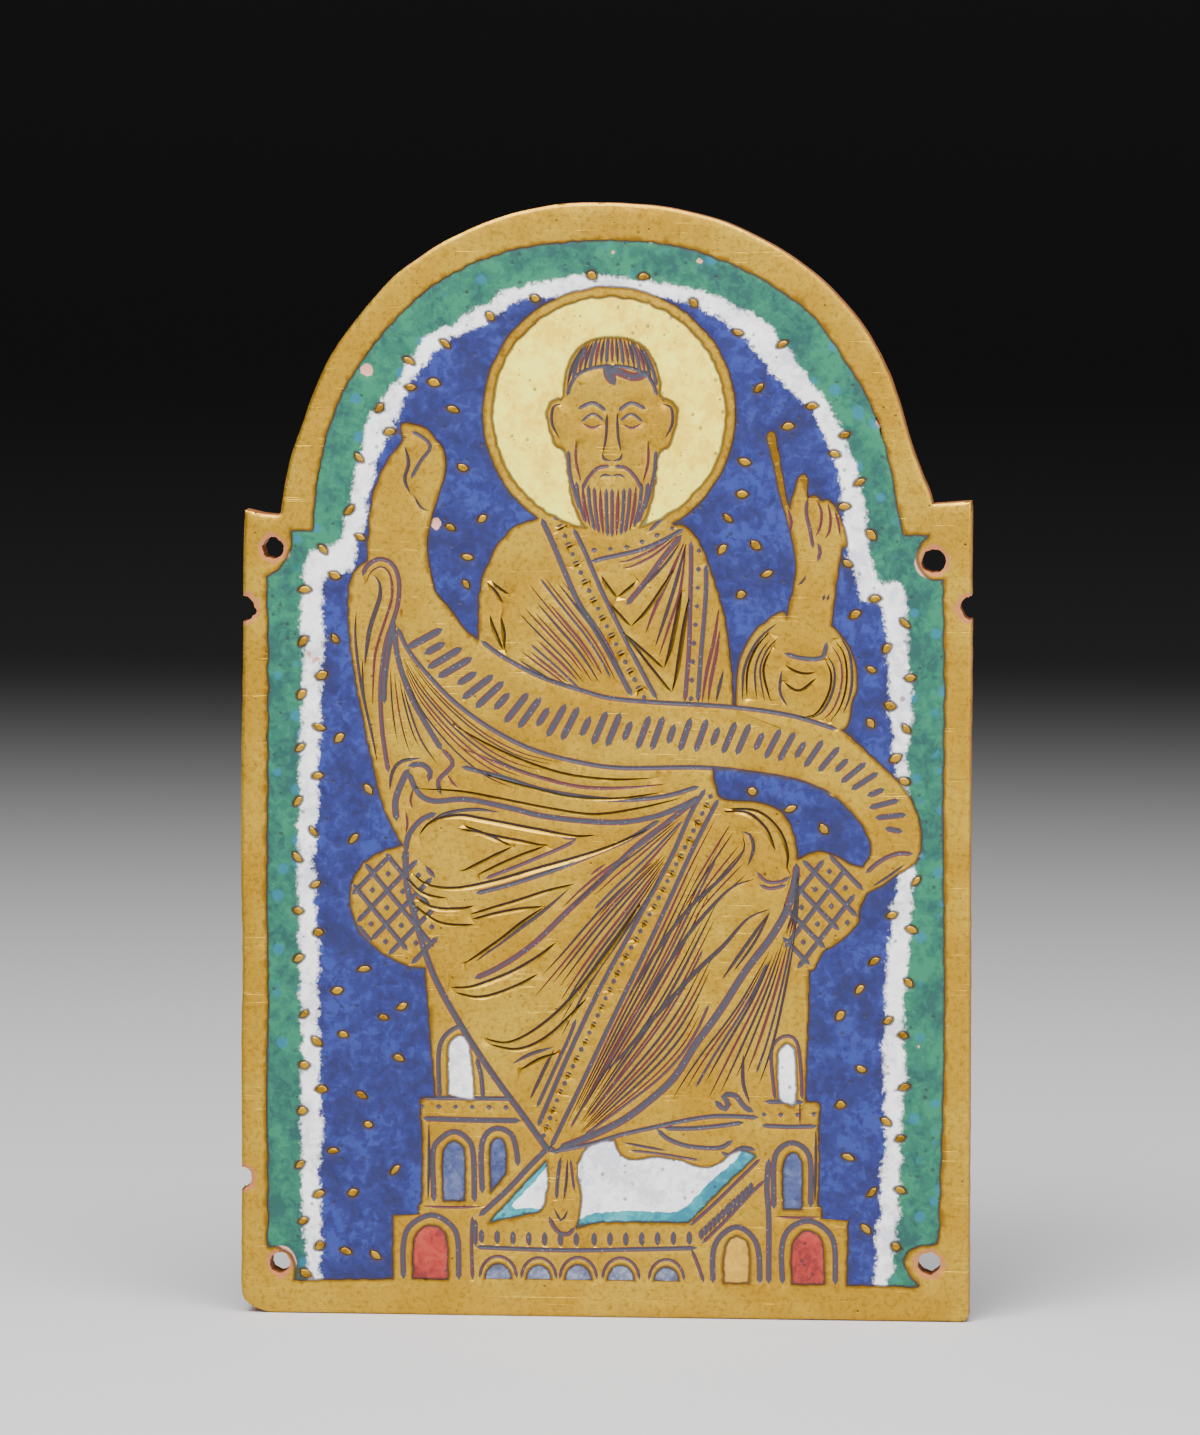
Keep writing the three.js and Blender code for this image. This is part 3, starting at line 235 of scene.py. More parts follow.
STOOL_ARCH_FOOT = 1286

NAIL_HOLES = [((271, 550), 11), ((933, 559), 12), ((275.5, 1272.5), 10.5), ((931, 1265), 11.5)]
NOTCHES = [((240, 611), 13), ((972, 605), 12), ((235, 1187), 12)]

# Gold drops: along the inner edge of the green, along the inner edge of the white, and in the blue
DROPS_IN_ROWS = {"pitch": 54, "green_start": 20, "white_start": 44}
DROPS_IN_BLUE = [
    (335, 639), (339, 742), (365, 793), (353, 843), (362, 975), (334, 993), (399, 1009), (381, 1024),
    (340, 1042), (396, 1065), (358, 1103), (366, 1129), (330, 1160), (394, 1178), (349, 1198),
    (342, 1262), (374, 1262), (463, 466), (478, 500), (449, 530), (483, 521), (467, 556), (464, 586),
    (452, 412), (433, 386), (745, 459), (742, 491), (729, 516), (757, 542), (724, 550), (766, 571),
    (742, 596), (757, 386), (788, 428), (856, 615), (872, 666), (869, 723), (753, 788), (790, 806),
    (826, 826), (876, 962), (862, 990), (843, 1017), (863, 1067), (842, 1108), (849, 1160),
    (872, 1192), (866, 1232),
]

# Engraved lines: kind, width in squares, places.
# B is a broad line filled with blue-grey glass that turns wine-red at its edges, M a redder one,
# R a thin wine-red line, D a thin dark one, and V an open cut with one bright gilt wall and its upper wall painted
# dark, as painted shade with dirt.
CHEST = [
    ("B", 6, [(541, 518), (552, 542), (563, 568), (577, 600), (593, 626), (610, 655), (632, 696)]),
    ("B", 5, [(573, 528), (584, 550), (593, 571), (605, 598), (620, 628), (635, 658), (657, 699)]),
    ("B", 5, [(590, 562), (604, 558), (618, 555), (642, 549), (665, 539), (684, 528)]),
    ("B", 4, [(648, 532), (656, 524), (664, 517)]),
    ("M", 6, [(682, 534), (664, 556), (645, 582), (626, 605)]),
    ("R", 3, [(676, 536), (655, 554), (632, 566), (621, 568)]),
    ("R", 3, [(670, 539), (652, 550), (630, 560), (617, 562)]),
    ("D", 3, [(680, 542), (668, 560), (652, 578), (642, 588)]),
    ("R", 4, [(685, 540), (670, 575), (655, 608), (645, 634)]),
    ("D", 4, [(686, 542), (677, 578), (666, 614), (655, 647)]),
    ("R", 3, [(686, 544), (680, 590), (669, 625), (659, 656)]),
    ("V", 5, [(600, 574), (607, 586), (617, 597)]),
    ("V", 4, [(617, 597), (628, 589), (637, 580)]),
    ("V", 5, [(611, 604), (620, 616), (631, 626)]),
    ("V", 4, [(631, 626), (646, 611), (660, 591), (672, 571)]),
    ("V", 5, [(626, 634), (642, 650), (664, 668)]),
    ("V", 5, [(664, 668), (670, 650), (676, 622), (682, 590)]),
    ("V", 6, [(624, 632), (640, 655), (656, 675), (672, 692)]),
    ("V", 5, [(672, 692), (677, 672), (682, 640), (688, 600)]),
    ("M", 5, [(691, 540), (691, 575), (690, 610), (689, 650), (685, 701)]),
    ("B", 5, [(706, 563), (706, 590), (704, 620), (701, 655), (698, 702)]),
    ("R", 4, [(719, 606), (714, 640), (707, 670), (702, 702)]),
    ("R", 4, [(720, 628), (716, 655), (711, 680), (708, 702)]),
    ("D", 4, [(724, 668), (720, 684), (716, 702)]),
    ("V", 6, [(486, 582), (492, 590), (503, 604)]),
    ("V", 5, [(490, 581), (498, 589), (509, 595)]),
    ("V", 5, [(489, 615), (494, 632), (503, 651)]),
    ("V", 5, [(500, 616), (503, 632), (504, 651)]),
]
CHEST_FANS = [
    ("RDRBRRDR", 4, 15, (0.3, 0.1), [(532, 538), (556, 572), (581, 605), (606, 640), (632, 693)],
     [(510, 655), (530, 668), (548, 679), (566, 689)]),
]
SLEEVE_LINES = [
    ("M", 5, [(361, 578), (366, 567), (379, 560), (392, 566), (398, 582), (397, 604), (392, 622),
              (385, 643), (381, 668), (379, 696), (381, 734), (387, 775)]),
    ("R", 3, [(364, 586), (370, 573), (381, 568), (389, 576), (391, 597), (385, 619), (378, 640),
              (373, 662), (371, 708)]),
    ("D", 5, [(372, 576), (378, 583), (379, 597), (374, 613), (368, 633), (363, 668)]),
    ("D", 3, [(355, 612), (354, 640), (359, 684), (366, 722)]),
    ("D", 3, [(361, 660), (362, 696), (370, 735), (376, 765)]),
    ("B", 5, [(394, 622), (388, 650), (384, 680), (383, 706)]),
    ("B", 6, [(393, 628), (397, 660), (409, 696), (424, 724), (441, 752)]),
    ("M", 5, [(441, 750), (452, 764), (446, 773), (437, 783), (440, 797)]),
    ("D", 4, [(388, 793), (391, 774), (401, 763), (421, 760)]),
    ("B", 7, [(395, 824), (394, 803), (401, 783), (408, 770)]),
    ("B", 6, [(406, 768), (420, 766), (429, 773), (427, 784)]),
    ("B", 6, [(407, 774), (417, 795), (433, 803), (465, 801), (508, 809), (548, 818), (610, 823),
              (650, 818), (680, 807), (701, 796)]),
    ("R", 3, [(412, 790), (409, 803), (412, 812)]),
    ("R", 3, [(404, 812), (406, 826), (404, 836)]),
    ("R", 3, [(446, 776), (452, 785), (458, 790)]),
]
SLEEVE_FANS = [
    ("DRD", 3, 4, (0.08, 0.1), [(389, 664), (390, 700), (394, 735), (399, 760)],
     [(401, 684), (408, 710), (420, 742), (438, 768)]),
    ("RDRDR", 3, 7, (0.1, 0.22), [(396, 640), (425, 680), (470, 723), (520, 752), (590, 768)],
     [(401, 664), (415, 702), (448, 746), (490, 780), (545, 800)]),
    ("VRV", 5, 4, (0.3, 0.05), [(430, 706), (480, 738), (540, 765), (600, 777), (690, 775)],
     [(400, 790), (460, 793), (530, 806), (600, 815), (690, 796)]),
]
LAP = [
    ("B", 6, [(404, 856), (407, 838), (420, 822), (436, 815)]),
    ("B", 5, [(460, 768), (507, 780), (548, 792), (609, 800), (660, 797), (700, 786)]),
    ("V", 6, [(417, 838), (430, 824), (456, 818), (484, 822), (533, 831), (572, 837), (596, 836)]),
    ("D", 4, [(424, 828), (443, 816), (473, 811), (500, 814)]),
    ("V", 5, [(456, 830), (478, 835), (508, 841), (545, 847)]),
    ("V", 4, [(545, 847), (511, 861), (476, 877)]),
    ("V", 5, [(462, 827), (492, 840), (512, 848)]),
    ("V", 4, [(512, 848), (483, 863), (460, 874)]),
    ("M", 4, [(560, 838), (574, 842), (533, 861), (484, 881)]),
    ("V", 6, [(410, 876), (428, 888), (456, 891), (493, 884), (533, 872), (578, 859), (611, 847),
              (644, 832)]),
    ("B", 5, [(474, 896), (511, 886), (555, 871), (594, 855), (630, 839), (660, 820)]),
    ("R", 3, [(589, 877), (600, 869), (606, 864)]),
    ("V", 5, [(405, 882), (422, 897), (445, 901)]),
    ("V", 5, [(415, 901), (432, 911), (456, 912), (474, 908)]),
    ("V", 4, [(413, 908), (432, 923), (450, 928), (474, 927)]),
    ("V", 5, [(468, 917), (511, 905), (550, 892), (575, 885)]),
    ("V", 5, [(470, 922), (511, 913), (543, 908)]),
    ("V", 4, [(543, 909), (522, 924), (497, 944), (463, 967)]),
    ("D", 4, [(569, 890), (544, 912), (511, 937), (474, 965)]),
    ("M", 6, [(473, 982), (500, 969), (533, 946), (567, 913), (600, 882), (636, 847), (667, 823),
              (694, 801)]),
    ("V", 6, [(449, 991), (473, 990), (508, 977), (534, 962), (556, 944)]),
    ("V", 5, [(453, 996), (480, 1001), (512, 991), (538, 976)]),
    ("V", 6, [(482, 1042), (508, 1046), (540, 1030), (572, 1000), (608, 953), (640, 905)]),
    ("V", 5, [(487, 1048), (519, 1053), (551, 1037), (587, 1000)]),
    ("D", 4, [(511, 1068), (529, 1058), (554, 1050)]),
    ("V", 4, [(519, 1074), (540, 1062), (558, 1056)]),
    ("B", 4, [(576, 1021), (568, 1042), (556, 1068), (536, 1112)]),
    ("D", 4, [(554, 1052), (545, 1070), (529, 1104)]),
    ("B", 7, [(404, 850), (405, 884), (412, 915), (431, 976), (460, 1030), (490, 1076), (521, 1118),
              (549, 1157)]),
    ("B", 5, [(706, 788), (691, 813), (671, 858), (638, 920), (600, 990), (565, 1065), (537, 1131)]),
    ("B", 5, [(719, 798), (697, 841), (673, 893), (650, 943), (614, 1018), (580, 1090), (550, 1152)]),
    ("B", 8, [(797, 862), (796, 878), (788, 908), (771, 938), (747, 970), (719, 1014), (696, 1046),
              (675, 1079), (650, 1103), (622, 1124), (590, 1140), (558, 1153)]),
    ("D", 4, [(741, 831), (750, 834), (754, 848), (748, 866)]),
    ("D", 4, [(743, 834), (744, 850), (727, 873), (690, 908), (659, 949), (628, 1000)]),
    ("V", 6, [(723, 811), (747, 813), (766, 829), (776, 850)]),
    ("V", 5, [(728, 808), (757, 811), (778, 828), (788, 852), (787, 869)]),
    ("M", 4, [(757, 871), (767, 881), (782, 881), (791, 875)]),
    ("M", 4, [(759, 884), (771, 888), (788, 884)]),
    ("D", 4, [(756, 878), (733, 887), (712, 907), (688, 936), (664, 972), (640, 1010)]),
    ("D", 5, [(772, 908), (748, 919), (724, 946), (697, 972), (659, 1014), (620, 1060), (598, 1080)]),
    ("D", 4, [(771, 911), (759, 928), (738, 958), (722, 981)]),
    ("D", 3, [(770, 914), (754, 944), (734, 972)]),
    ("B", 6, [(715, 1102), (725, 1111), (729, 1105), (724, 1097), (736, 1097), (745, 1108), (755, 1114)]),
    ("D", 4, [(744, 1055), (744, 1084), (751, 1106)]),
    ("B", 5, [(549, 1157), (590, 1148), (622, 1138), (655, 1130), (690, 1122), (720, 1118), (760, 1119)]),
]
LAP_FANS = [
    ("DRDDR", 4, 8, (0.12, 0.12), [(667, 850), (611, 900), (560, 958), (520, 1001)],
     [(676, 850), (634, 920), (590, 985), (549, 1062)]),
    ("RDRB", 4, 5, (0.1, 0.25), [(686, 812), (640, 846), (590, 882), (540, 930)],
     [(690, 815), (650, 862), (610, 905), (585, 935)]),
    ("RDDRMD", 4, 17, (0.15, 0.06), [(722, 805), (690, 868), (655, 945), (618, 1020), (585, 1090),
                                  (557, 1147)], [(712, 1000), (690, 1045), (660, 1080), (620, 1112),
                                                 (575, 1146)]),
    ("RD", 3, 6, (0.05, 0.3), [(733, 820), (705, 866), (680, 910)], [(752, 872), (716, 905), (684, 940)]),
    ("DRBDRD", 4, 10, (0.12, 0.05), [(771, 950), (738, 1008), (697, 1063), (664, 1116)],
     [(797, 925), (788, 978), (774, 1043), (757, 1094)]),
    ("DR", 3, 5, (0.1, 0.1), [(798, 868), (795, 905), (780, 948)], [(799, 872), (798, 910), (793, 950)]),
]
CUFF_FANS = [
    ("DVD", 4, 5, (0.1, 0.15), [(741, 700), (743, 668), (755, 642), (770, 626), (784, 617)],
     [(772, 702), (764, 672), (768, 655), (776, 643), (784, 636)]),
    ("DVR", 4, 5, (0.1, 0.1), [(833, 628), (848, 648), (852, 680), (846, 706), (836, 724)],
     [(822, 655), (830, 670), (829, 690), (816, 712), (800, 716)]),
]
CUFF_LINES = [
    ("B", 5, [(784, 652), (803, 657), (822, 656), (827, 640)]),
    ("V", 4, [(785, 664), (800, 672), (816, 671)]),
    ("V", 4, [(783, 680), (799, 690), (817, 676)]),
    ("D", 3, [(782, 668), (780, 690), (788, 706)]),
    ("B", 4, [(734, 704), (735, 680), (740, 655), (748, 638)]),
]
SCROLL_LINES = [
    ("B", 5, [(396, 628), (409, 654), (437, 687), (462, 710), (496, 733), (534, 751), (576, 762),
              (620, 768), (700, 767), (745, 771), (795, 779), (832, 793)]),
    ("B", 5, [(480, 641), (502, 657), (540, 677), (580, 690), (610, 698), (655, 702), (730, 706),
              (790, 714), (838, 728)]),
    ("M", 5, [(866, 872), (880, 860), (897, 852), (914, 852)]),
    ("B", 7, [(893, 857), (897, 858)]),
    ("D", 3, [(906, 862), (890, 874), (872, 886)]),
]
# The writing's place holds a row of slanting strokes, long and short in turn, and no letters.
SCROLL_ROW = [(418, 634), (445, 660), (480, 690), (520, 710), (570, 724), (640, 732), (720, 736), (780, 744),
              (830, 758), (868, 782), (890, 812), (895, 834)]
SCROLL_STROKES = {"count": 38, "long": 40, "short": 24, "width": 8, "lean": 0.3}
HAND_LINES = [
    ("R", 4, [(787, 506), (791, 520), (790, 532)]),
    ("M", 4, [(807, 497), (806, 512), (810, 530), (813, 548)]),
    ("R", 3, [(816, 498), (821, 510), (820, 525), (815, 536)]),
    ("R", 3, [(827, 501), (830, 515), (829, 530), (824, 538)]),
    ("R", 3, [(834, 508), (838, 522), (840, 536)]),
    ("M", 4, [(817, 541), (820, 550), (817, 561)]),
    ("D", 3, [(797, 584), (803, 580), (806, 573)]),
    ("D", 3, [(822, 600), (825, 592)]),
    ("D", 3, [(827, 600), (829, 592)]),
    ("D", 4, [(404, 446), (408, 464), (404, 480), (410, 496)]),
    ("B", 4, [(410, 432), (422, 438), (430, 448), (420, 462), (410, 480)]),
    ("D", 3, [(413, 496), (420, 508), (428, 512)]),
]
HEAD_MIDDLE = 612
# Drawn for one side of the face: steps across from its middle, and places down the sheet
FACE_LINES = [
    ("B", 4, [(6, 411), (19, 403), (34, 409)]),
    ("B", 3, [(8, 421), (19, 414), (31, 422)]),
    ("R", 3, [(10, 424), (20, 428), (30, 423)]),
    ("B", 6, [(18, 420), (22, 420)]),
    ("D", 3, [(5, 412), (6, 436), (9, 452)]),
    ("D", 3, [(10, 452), (8, 459), (0, 461)]),
    ("M", 4, [(2, 466), (14, 468), (24, 478), (30, 490)]),
    ("D", 3, [(0, 476), (8, 475), (13, 478)]),
    ("B", 4, [(44, 450), (42, 474), (37, 494), (32, 510)]),
    ("R", 3, [(36, 440), (36, 462), (31, 482)]),
    ("D", 3, [(50, 404), (59, 408), (60, 424), (53, 438)]),
    ("B", 4, [(45, 396), (41, 384), (33, 374), (18, 368), (0, 366)]),
    ("D", 3, [(51, 402), (50, 384), (44, 366)]),
]
# Losses along the hair's lower edge
HAIR_LOSSES = [
    ("B", 11, [(604, 366), (611, 378), (615, 386)]),
    ("M", 9, [(600, 366), (616, 371), (634, 377), (650, 372)]),
]
HAIR = {"count": 17, "top": [0, 30], "bottom": [0, 45], "from": 337, "to": 364, "droop": 22}
BEARD = {"count": 13, "top": [0, 36], "bottom": [0, 26], "from": 488, "to": 537, "droop": -14}
BANDS = [
    ("chest", 19.5, 8, [(556, 518), (567, 541), (577, 565), (596, 605), (617, 646), (644, 697)]),
    ("collar", 15, 0, [(594, 550), (626, 547), (652, 537), (672, 528)]),
    ("side", 18.5, 0, [(699, 550), (697, 605), (694, 640), (691, 698)]),
    ("lap", 19, 6, [(711, 796), (691, 836), (655, 906), (622, 966), (590, 1034), (560, 1096), (543, 1140)]),
    ("ledge_left", 18, 0, [(420, 1112), (450, 1112), (505, 1112)]),
    ("ledge_right", 17, 0, [(765, 1116), (790, 1116), (815, 1115)]),
]
CUSHION_LATTICE = [
    {"outline": "cushion_left", "middle": (385, 911), "pitch": 23, "angles": (0.88, -0.80)},
    {"outline": "cushion_right", "middle": (832, 905), "pitch": 23, "angles": (0.80, -0.92)},
]
THRONE_LINES = [
    ("B", 5, [(438, 1104), (437, 1060), (442, 1042), (456, 1031), (466, 1033)]),
    ("B", 5, [(475, 1062), (480, 1080), (482, 1104)]),
    ("B", 6, [(420, 1124), (470, 1125), (520, 1125)]),
    ("B", 5, [(420, 1103), (470, 1103), (511, 1103)]),
    ("B", 6, [(432, 1209), (431, 1160), (437, 1146), (452, 1137), (466, 1144), (472, 1160), (473, 1209)]),
    ("B", 6, [(481, 1200), (480, 1155), (486, 1138), (498, 1133), (511, 1140), (516, 1158), (517, 1172)]),
    ("D", 3, [(427, 1128), (427, 1165), (426, 1208)]),
    ("R", 3, [(419, 1213), (450, 1214), (482, 1213)]),
    ("B", 6, [(401, 1288), (401, 1252), (408, 1233), (429, 1222), (447, 1230), (456, 1246), (457, 1288)]),
    ("M", 4, [(471, 1222), (470, 1250), (471, 1288)]),
    ("M", 4, [(776, 1101), (772, 1058), (776, 1043), (788, 1036), (798, 1043), (802, 1070), (803, 1101)]),
    ("R", 2.5, [(801, 1104), (801, 1126)]),
    ("B", 5, [(765, 1103), (780, 1103), (806, 1103)]),
    ("B", 5, [(762, 1127), (790, 1128), (819, 1127)]),
    ("B", 6, [(775, 1212), (775, 1165), (781, 1150), (794, 1144), (807, 1151), (812, 1166), (812, 1210)]),
    ("D", 3, [(817, 1130), (817, 1170), (816, 1206)]),
    ("B", 6, [(784, 1288), (783, 1252), (790, 1232), (809, 1223), (827, 1231), (836, 1248), (837, 1288)]),
    ("B", 6, [(714, 1288), (714, 1256), (722, 1239), (738, 1230), (753, 1239), (760, 1256), (761, 1288)]),
    ("B", 6, [(770, 1160), (768, 1190), (770, 1222), (770, 1288)]),
    ("R", 3, [(777, 1219), (800, 1220), (822, 1219)]),
]
STOOL_LINES = [
    ("B", 6, [(548, 1152), (530, 1170), (505, 1197), (477, 1223)]),
    ("B", 6, [(556, 1158), (548, 1150)]),
    ("B", 5, [(757, 1152), (742, 1150), (730, 1158), (722, 1154)]),
    ("B", 5, [(474, 1225), (474, 1254)]),
    ("B", 5, [(474, 1254), (560, 1256), (640, 1254), (698, 1252)]),
    ("M", 4, [(692, 1253), (699, 1270), (705, 1288)]),
    ("M", 4, [(690, 1230), (716, 1206), (742, 1180), (762, 1160)]),
    ("M", 4, [(702, 1248), (728, 1222), (748, 1200), (766, 1182)]),
    ("B", 5, [(657, 1132), (669, 1142), (690, 1149), (720, 1150), (734, 1142)]),
    ("B", 5, [(664, 1131), (690, 1131), (720, 1128), (745, 1124)]),
    ("B", 4, [(560, 1162), (557, 1186), (556, 1205)]),
    ("D", 3, [(567, 1163), (566, 1186), (563, 1206)]),
    ("D", 3, [(553, 1213), (561, 1226), (568, 1214)]),
    ("M", 5, [(548, 1222), (556, 1236), (567, 1240), (575, 1232)]),
    ("M", 3, [(570, 1163), (572, 1180), (574, 1196)]),
    ("D", 3, [(622, 1146), (645, 1150), (668, 1154)]),
    ("M", 3, [(630, 1154), (660, 1157), (700, 1163)]),
]
STOOL_TEETH = {
    "front": (14, 15, [(480, 1243), (540, 1245), (620, 1244), (690, 1242)]),
    "side": (13, 12, [(702, 1238), (728, 1213), (752, 1190)]),
}


# Curves on the sheet


def curve(places, spacing, closed=False):
    """Places set evenly along a smooth curve through the given ones."""
    given = np.array(places, float)
    if closed:
        given = np.vstack([given[-1], given, given[:2]])
    else:
        given = np.vstack([2 * given[0] - given[1], given, 2 * given[-1] - given[-2]])
    share = np.linspace(0, 1, 12, endpoint=False)[:, None]
    runs = [
        b + 0.5 * share * (c - a + share * (2 * a - 5 * b + 4 * c - d + share * (3 * (b - c) + d - a)))
        for a, b, c, d in zip(given, given[1:], given[2:], given[3:])
    ]
    fine = np.vstack([*runs, given[-2]])
    along = np.concatenate([[0], np.cumsum(np.hypot(*np.diff(fine, axis=0).T))])
    count = max(2, round(along[-1] / spacing) + 1)
    marks = np.linspace(0, along[-1], count)
    even = np.column_stack([np.interp(marks, along, fine[:, axis]) for axis in (0, 1)])
    return even[:-1] if closed else even


def unevenness(places, reach, wave, seed):
    """Moves places as an unsteady hand would: reach is how far and wave how long a waver is."""
    rng = np.random.default_rng(seed)
    moved = np.array(places, float)
    start = moved.copy()
    for _ in range(7):
        turn, phase, push = rng.uniform(0, math.tau, 3)
        beat = math.tau / (wave * rng.uniform(0.5, 1.8))
        swing = np.sin(beat * (start @ (math.cos(turn), math.sin(turn))) + phase)
        moved += reach / 2 * swing[:, None] * (math.cos(push), math.sin(push))
    return moved


def signed_area(outline):
    after = np.roll(outline, -1, axis=0)
    return (outline[:, 0] * after[:, 1] - after[:, 0] * outline[:, 1]).sum() / 2


def outline(runs, spacing=4, reach=0.0, wave=20, seed=1):
    """One closed outline from runs that meet in corners, always turning the same way."""
    places = np.vstack([curve(run, spacing) for run in runs])
    if reach:
        places = unevenness(places, reach, wave, seed)
    gaps = np.hypot(*(places - np.roll(places, 1, axis=0)).T)
    places = places[gaps > 0.3]
    return places if signed_area(places) > 0 else places[::-1]


def ring(middle, radius, spacing=4, squash=1.0):
    count = max(8, round(math.tau * radius / spacing))
    angles = np.linspace(0, math.tau, count, endpoint=False)
    return np.column_stack([middle[0] + radius * np.cos(angles), middle[1] + squash * radius * np.sin(angles)])


def inset(places, distance):
    """A closed outline moved inwards."""
    along = np.roll(places, -1, axis=0) - np.roll(places, 1, axis=0)
    along /= np.maximum(np.hypot(*along.T), 1e-6)[:, None]
    return places + distance * np.column_stack([-along[:, 1], along[:, 0]])


def holds(closed, places):
    """Which of the places lie inside a closed outline."""
    inside = np.zeros(len(places), bool)
    for (u, v), (next_u, next_v) in zip(closed, np.roll(closed, -1, axis=0)):
        if v != next_v:
            crossed = (v > places[:, 1]) != (next_v > places[:, 1])
            inside ^= crossed & (places[:, 0] < u + (next_u - u) * (places[:, 1] - v) / (next_v - v))
    return inside


# Engraved lines

KINDS = {
    "B": {"blue": 1.0, "soot_and_shade": 0.0, "depth": 0.9, "open": False},
    "M": {"blue": 0.55, "soot_and_shade": 0.0, "depth": 0.8, "open": False},
    "R": {"blue": 0.0, "soot_and_shade": 0.1, "depth": 0.7, "open": False},
    "D": {"blue": 0.6, "soot_and_shade": 0.75, "depth": 0.7, "open": False},
    # The open cut's upper wall is painted dark: painted shade with dirt.
    "V": {"blue": 0.5, "soot_and_shade": 1.0, "depth": 2.2, "open": True},
}


class Stroke:
    """One engraved line: its middle, its half width along it, and the outline of its cut."""

    def __init__(self, kind, width, places, spacing=5.0, blunt=None):
        self.kind = kind
        self.middle = curve(places, spacing)
        along = np.concatenate([[0], np.cumsum(np.hypot(*np.diff(self.middle, axis=0).T))])
        blunt = kind in "BM" if blunt is None else blunt
        taper = min(along[-1] / 2.2, width * 0.7 if blunt else max(4 * width, along[-1] * 0.3))
        nearest_end = np.minimum(along, along[-1] - along)
        self.half = width / 2 * np.clip(nearest_end / taper, 0, 1) ** 0.6
        slope = np.gradient(self.middle, axis=0)
        slope /= np.maximum(np.hypot(*slope.T), 1e-6)[:, None]
        side = np.column_stack([-slope[:, 1], slope[:, 0]]) * self.half[:, None]
        closed = np.vstack([self.middle[:1], (self.middle + side)[1:-1], self.middle[-1:],
                            (self.middle - side)[1:-1][::-1]])
        self.outline = closed if signed_area(closed) > 0 else closed[::-1]

    def measure(self, places):
        """Each place's distance from the middle, the half width there and whether it is on the upper side."""
        start, step = self.middle[:-1], np.diff(self.middle, axis=0)
        offset = places[:, None] - start[None]
        share = np.clip((offset * step).sum(2) / np.maximum((step**2).sum(1), 1e-9), 0, 1)
        away = offset - share[..., None] * step
        distance = np.hypot(away[..., 0], away[..., 1])
        nearest = distance.argmin(1)
        rows = np.arange(len(places))
        half = self.half[nearest] + share[rows, nearest] * np.diff(self.half)[nearest]
        return distance[rows, nearest], np.maximum(half, 0.4), away[rows, nearest, 1] < 0


def fan_strokes(kinds, width, count, ragged, guide_a, guide_b, rng):
    """Lines laid between two guides, with ends as uneven as an engraver leaves them."""
    longest = 40
    guides = [curve(guide, 2) for guide in (guide_a, guide_b)]
    marks = np.linspace(0, 1, longest)
    spread = []
    for guide in guides:
        own = np.linspace(0, 1, len(guide))
        spread.append(np.column_stack([np.interp(marks, own, guide[:, axis]) for axis in (0, 1)]))
    strokes = []
    for index in range(count):
        share = np.clip((index + rng.uniform(-0.25, 0.25)) / max(count - 1, 1), 0, 1)
        whole = spread[0] + (spread[1] - spread[0]) * share
        first = round(longest * rng.uniform(0, ragged[0]))
        last = longest - round(longest * rng.uniform(0, ragged[1]))
        kind = kinds[index % len(kinds)]
        strokes.append(Stroke(kind, width * rng.uniform(0.5, 0.8), whole[first:last:6]))
    return strokes


def band_strokes(pitch, bar, path, rng):
    """The dots along a band, and between them the short open bars of an orphrey."""
    line = curve(path, pitch / 2 if bar else pitch)
    slope = np.gradient(line, axis=0)
    slope /= np.hypot(*slope.T)[:, None]
    strokes = []
    for index, (place, along) in enumerate(zip(line, slope)):
        across = np.array([along[1], -along[0]])
        if bar and index % 2:
            for shift, kind in ((-1.5, "D"), (1.8, "V")):
                middle = place + along * shift
                strokes.append(Stroke(kind, 3, [middle - across * bar / 2, middle + across * bar / 2], 3))
        else:
            reach = rng.uniform(2.4, 3.3)
            strokes.append(Stroke("B", 5.5, [place - along * reach, place + along * reach], 1.6))
    return strokes


def lattice_strokes(closed, middle, pitch, angles):
    """Two sets of broad crossing lines inside an outline, and a dot in each lozenge between them."""
    strokes = []
    reach = 90
    middle = np.array(middle, float)
    ways = [np.array([math.cos(angle), math.sin(angle)]) for angle in angles]
    for way, other in (ways, ways[::-1]):
        for row in range(-4, 5):
            whole = np.array([middle + other * pitch * (row + 0.5) + way * step
                              for step in np.linspace(-reach, reach, 91)])
            within = holds(closed, whole)
            if within.sum() > 4:
                strokes.append(Stroke("B", 5.5, whole[within][:: max(1, within.sum() // 5)], blunt=True))
    for row in range(-4, 5):
        for column in range(-4, 5):
            place = middle + ways[0] * pitch * row + ways[1] * pitch * column
            if holds(inset(closed, 7), place[None])[0]:
                strokes.append(Stroke("B", 6, [place - (0, 3.4), place + (0, 3.4)], 1.7))
    return strokes


def mirrored_strokes():
    strokes = []
    for kind, width, places in FACE_LINES:
        for side in (-1, 1):
            path = [(HEAD_MIDDLE + side * across, down) for across, down in places]
            strokes.append(Stroke(kind, width, path, 3))
    return strokes


def lock_strokes(count, top, bottom, droop, kinds, **levels):
    """Locks of hair, or strands of a beard, that fan out evenly from the middle of the head."""
    strokes = []
    for index in range(count):
        lean = 2 * index / (count - 1) - 1
        start = (HEAD_MIDDLE + lean * top[1], levels["from"] + droop * lean**2 * 0.5)
        end = (HEAD_MIDDLE + lean * bottom[1], levels["to"] + droop * lean**2)
        middle = ((start[0] + end[0]) / 2 + 2 * lean, (start[1] + end[1]) / 2)
        strokes.append(Stroke(kinds[index % len(kinds)], 4, [start, middle, end], 4))
    return strokes


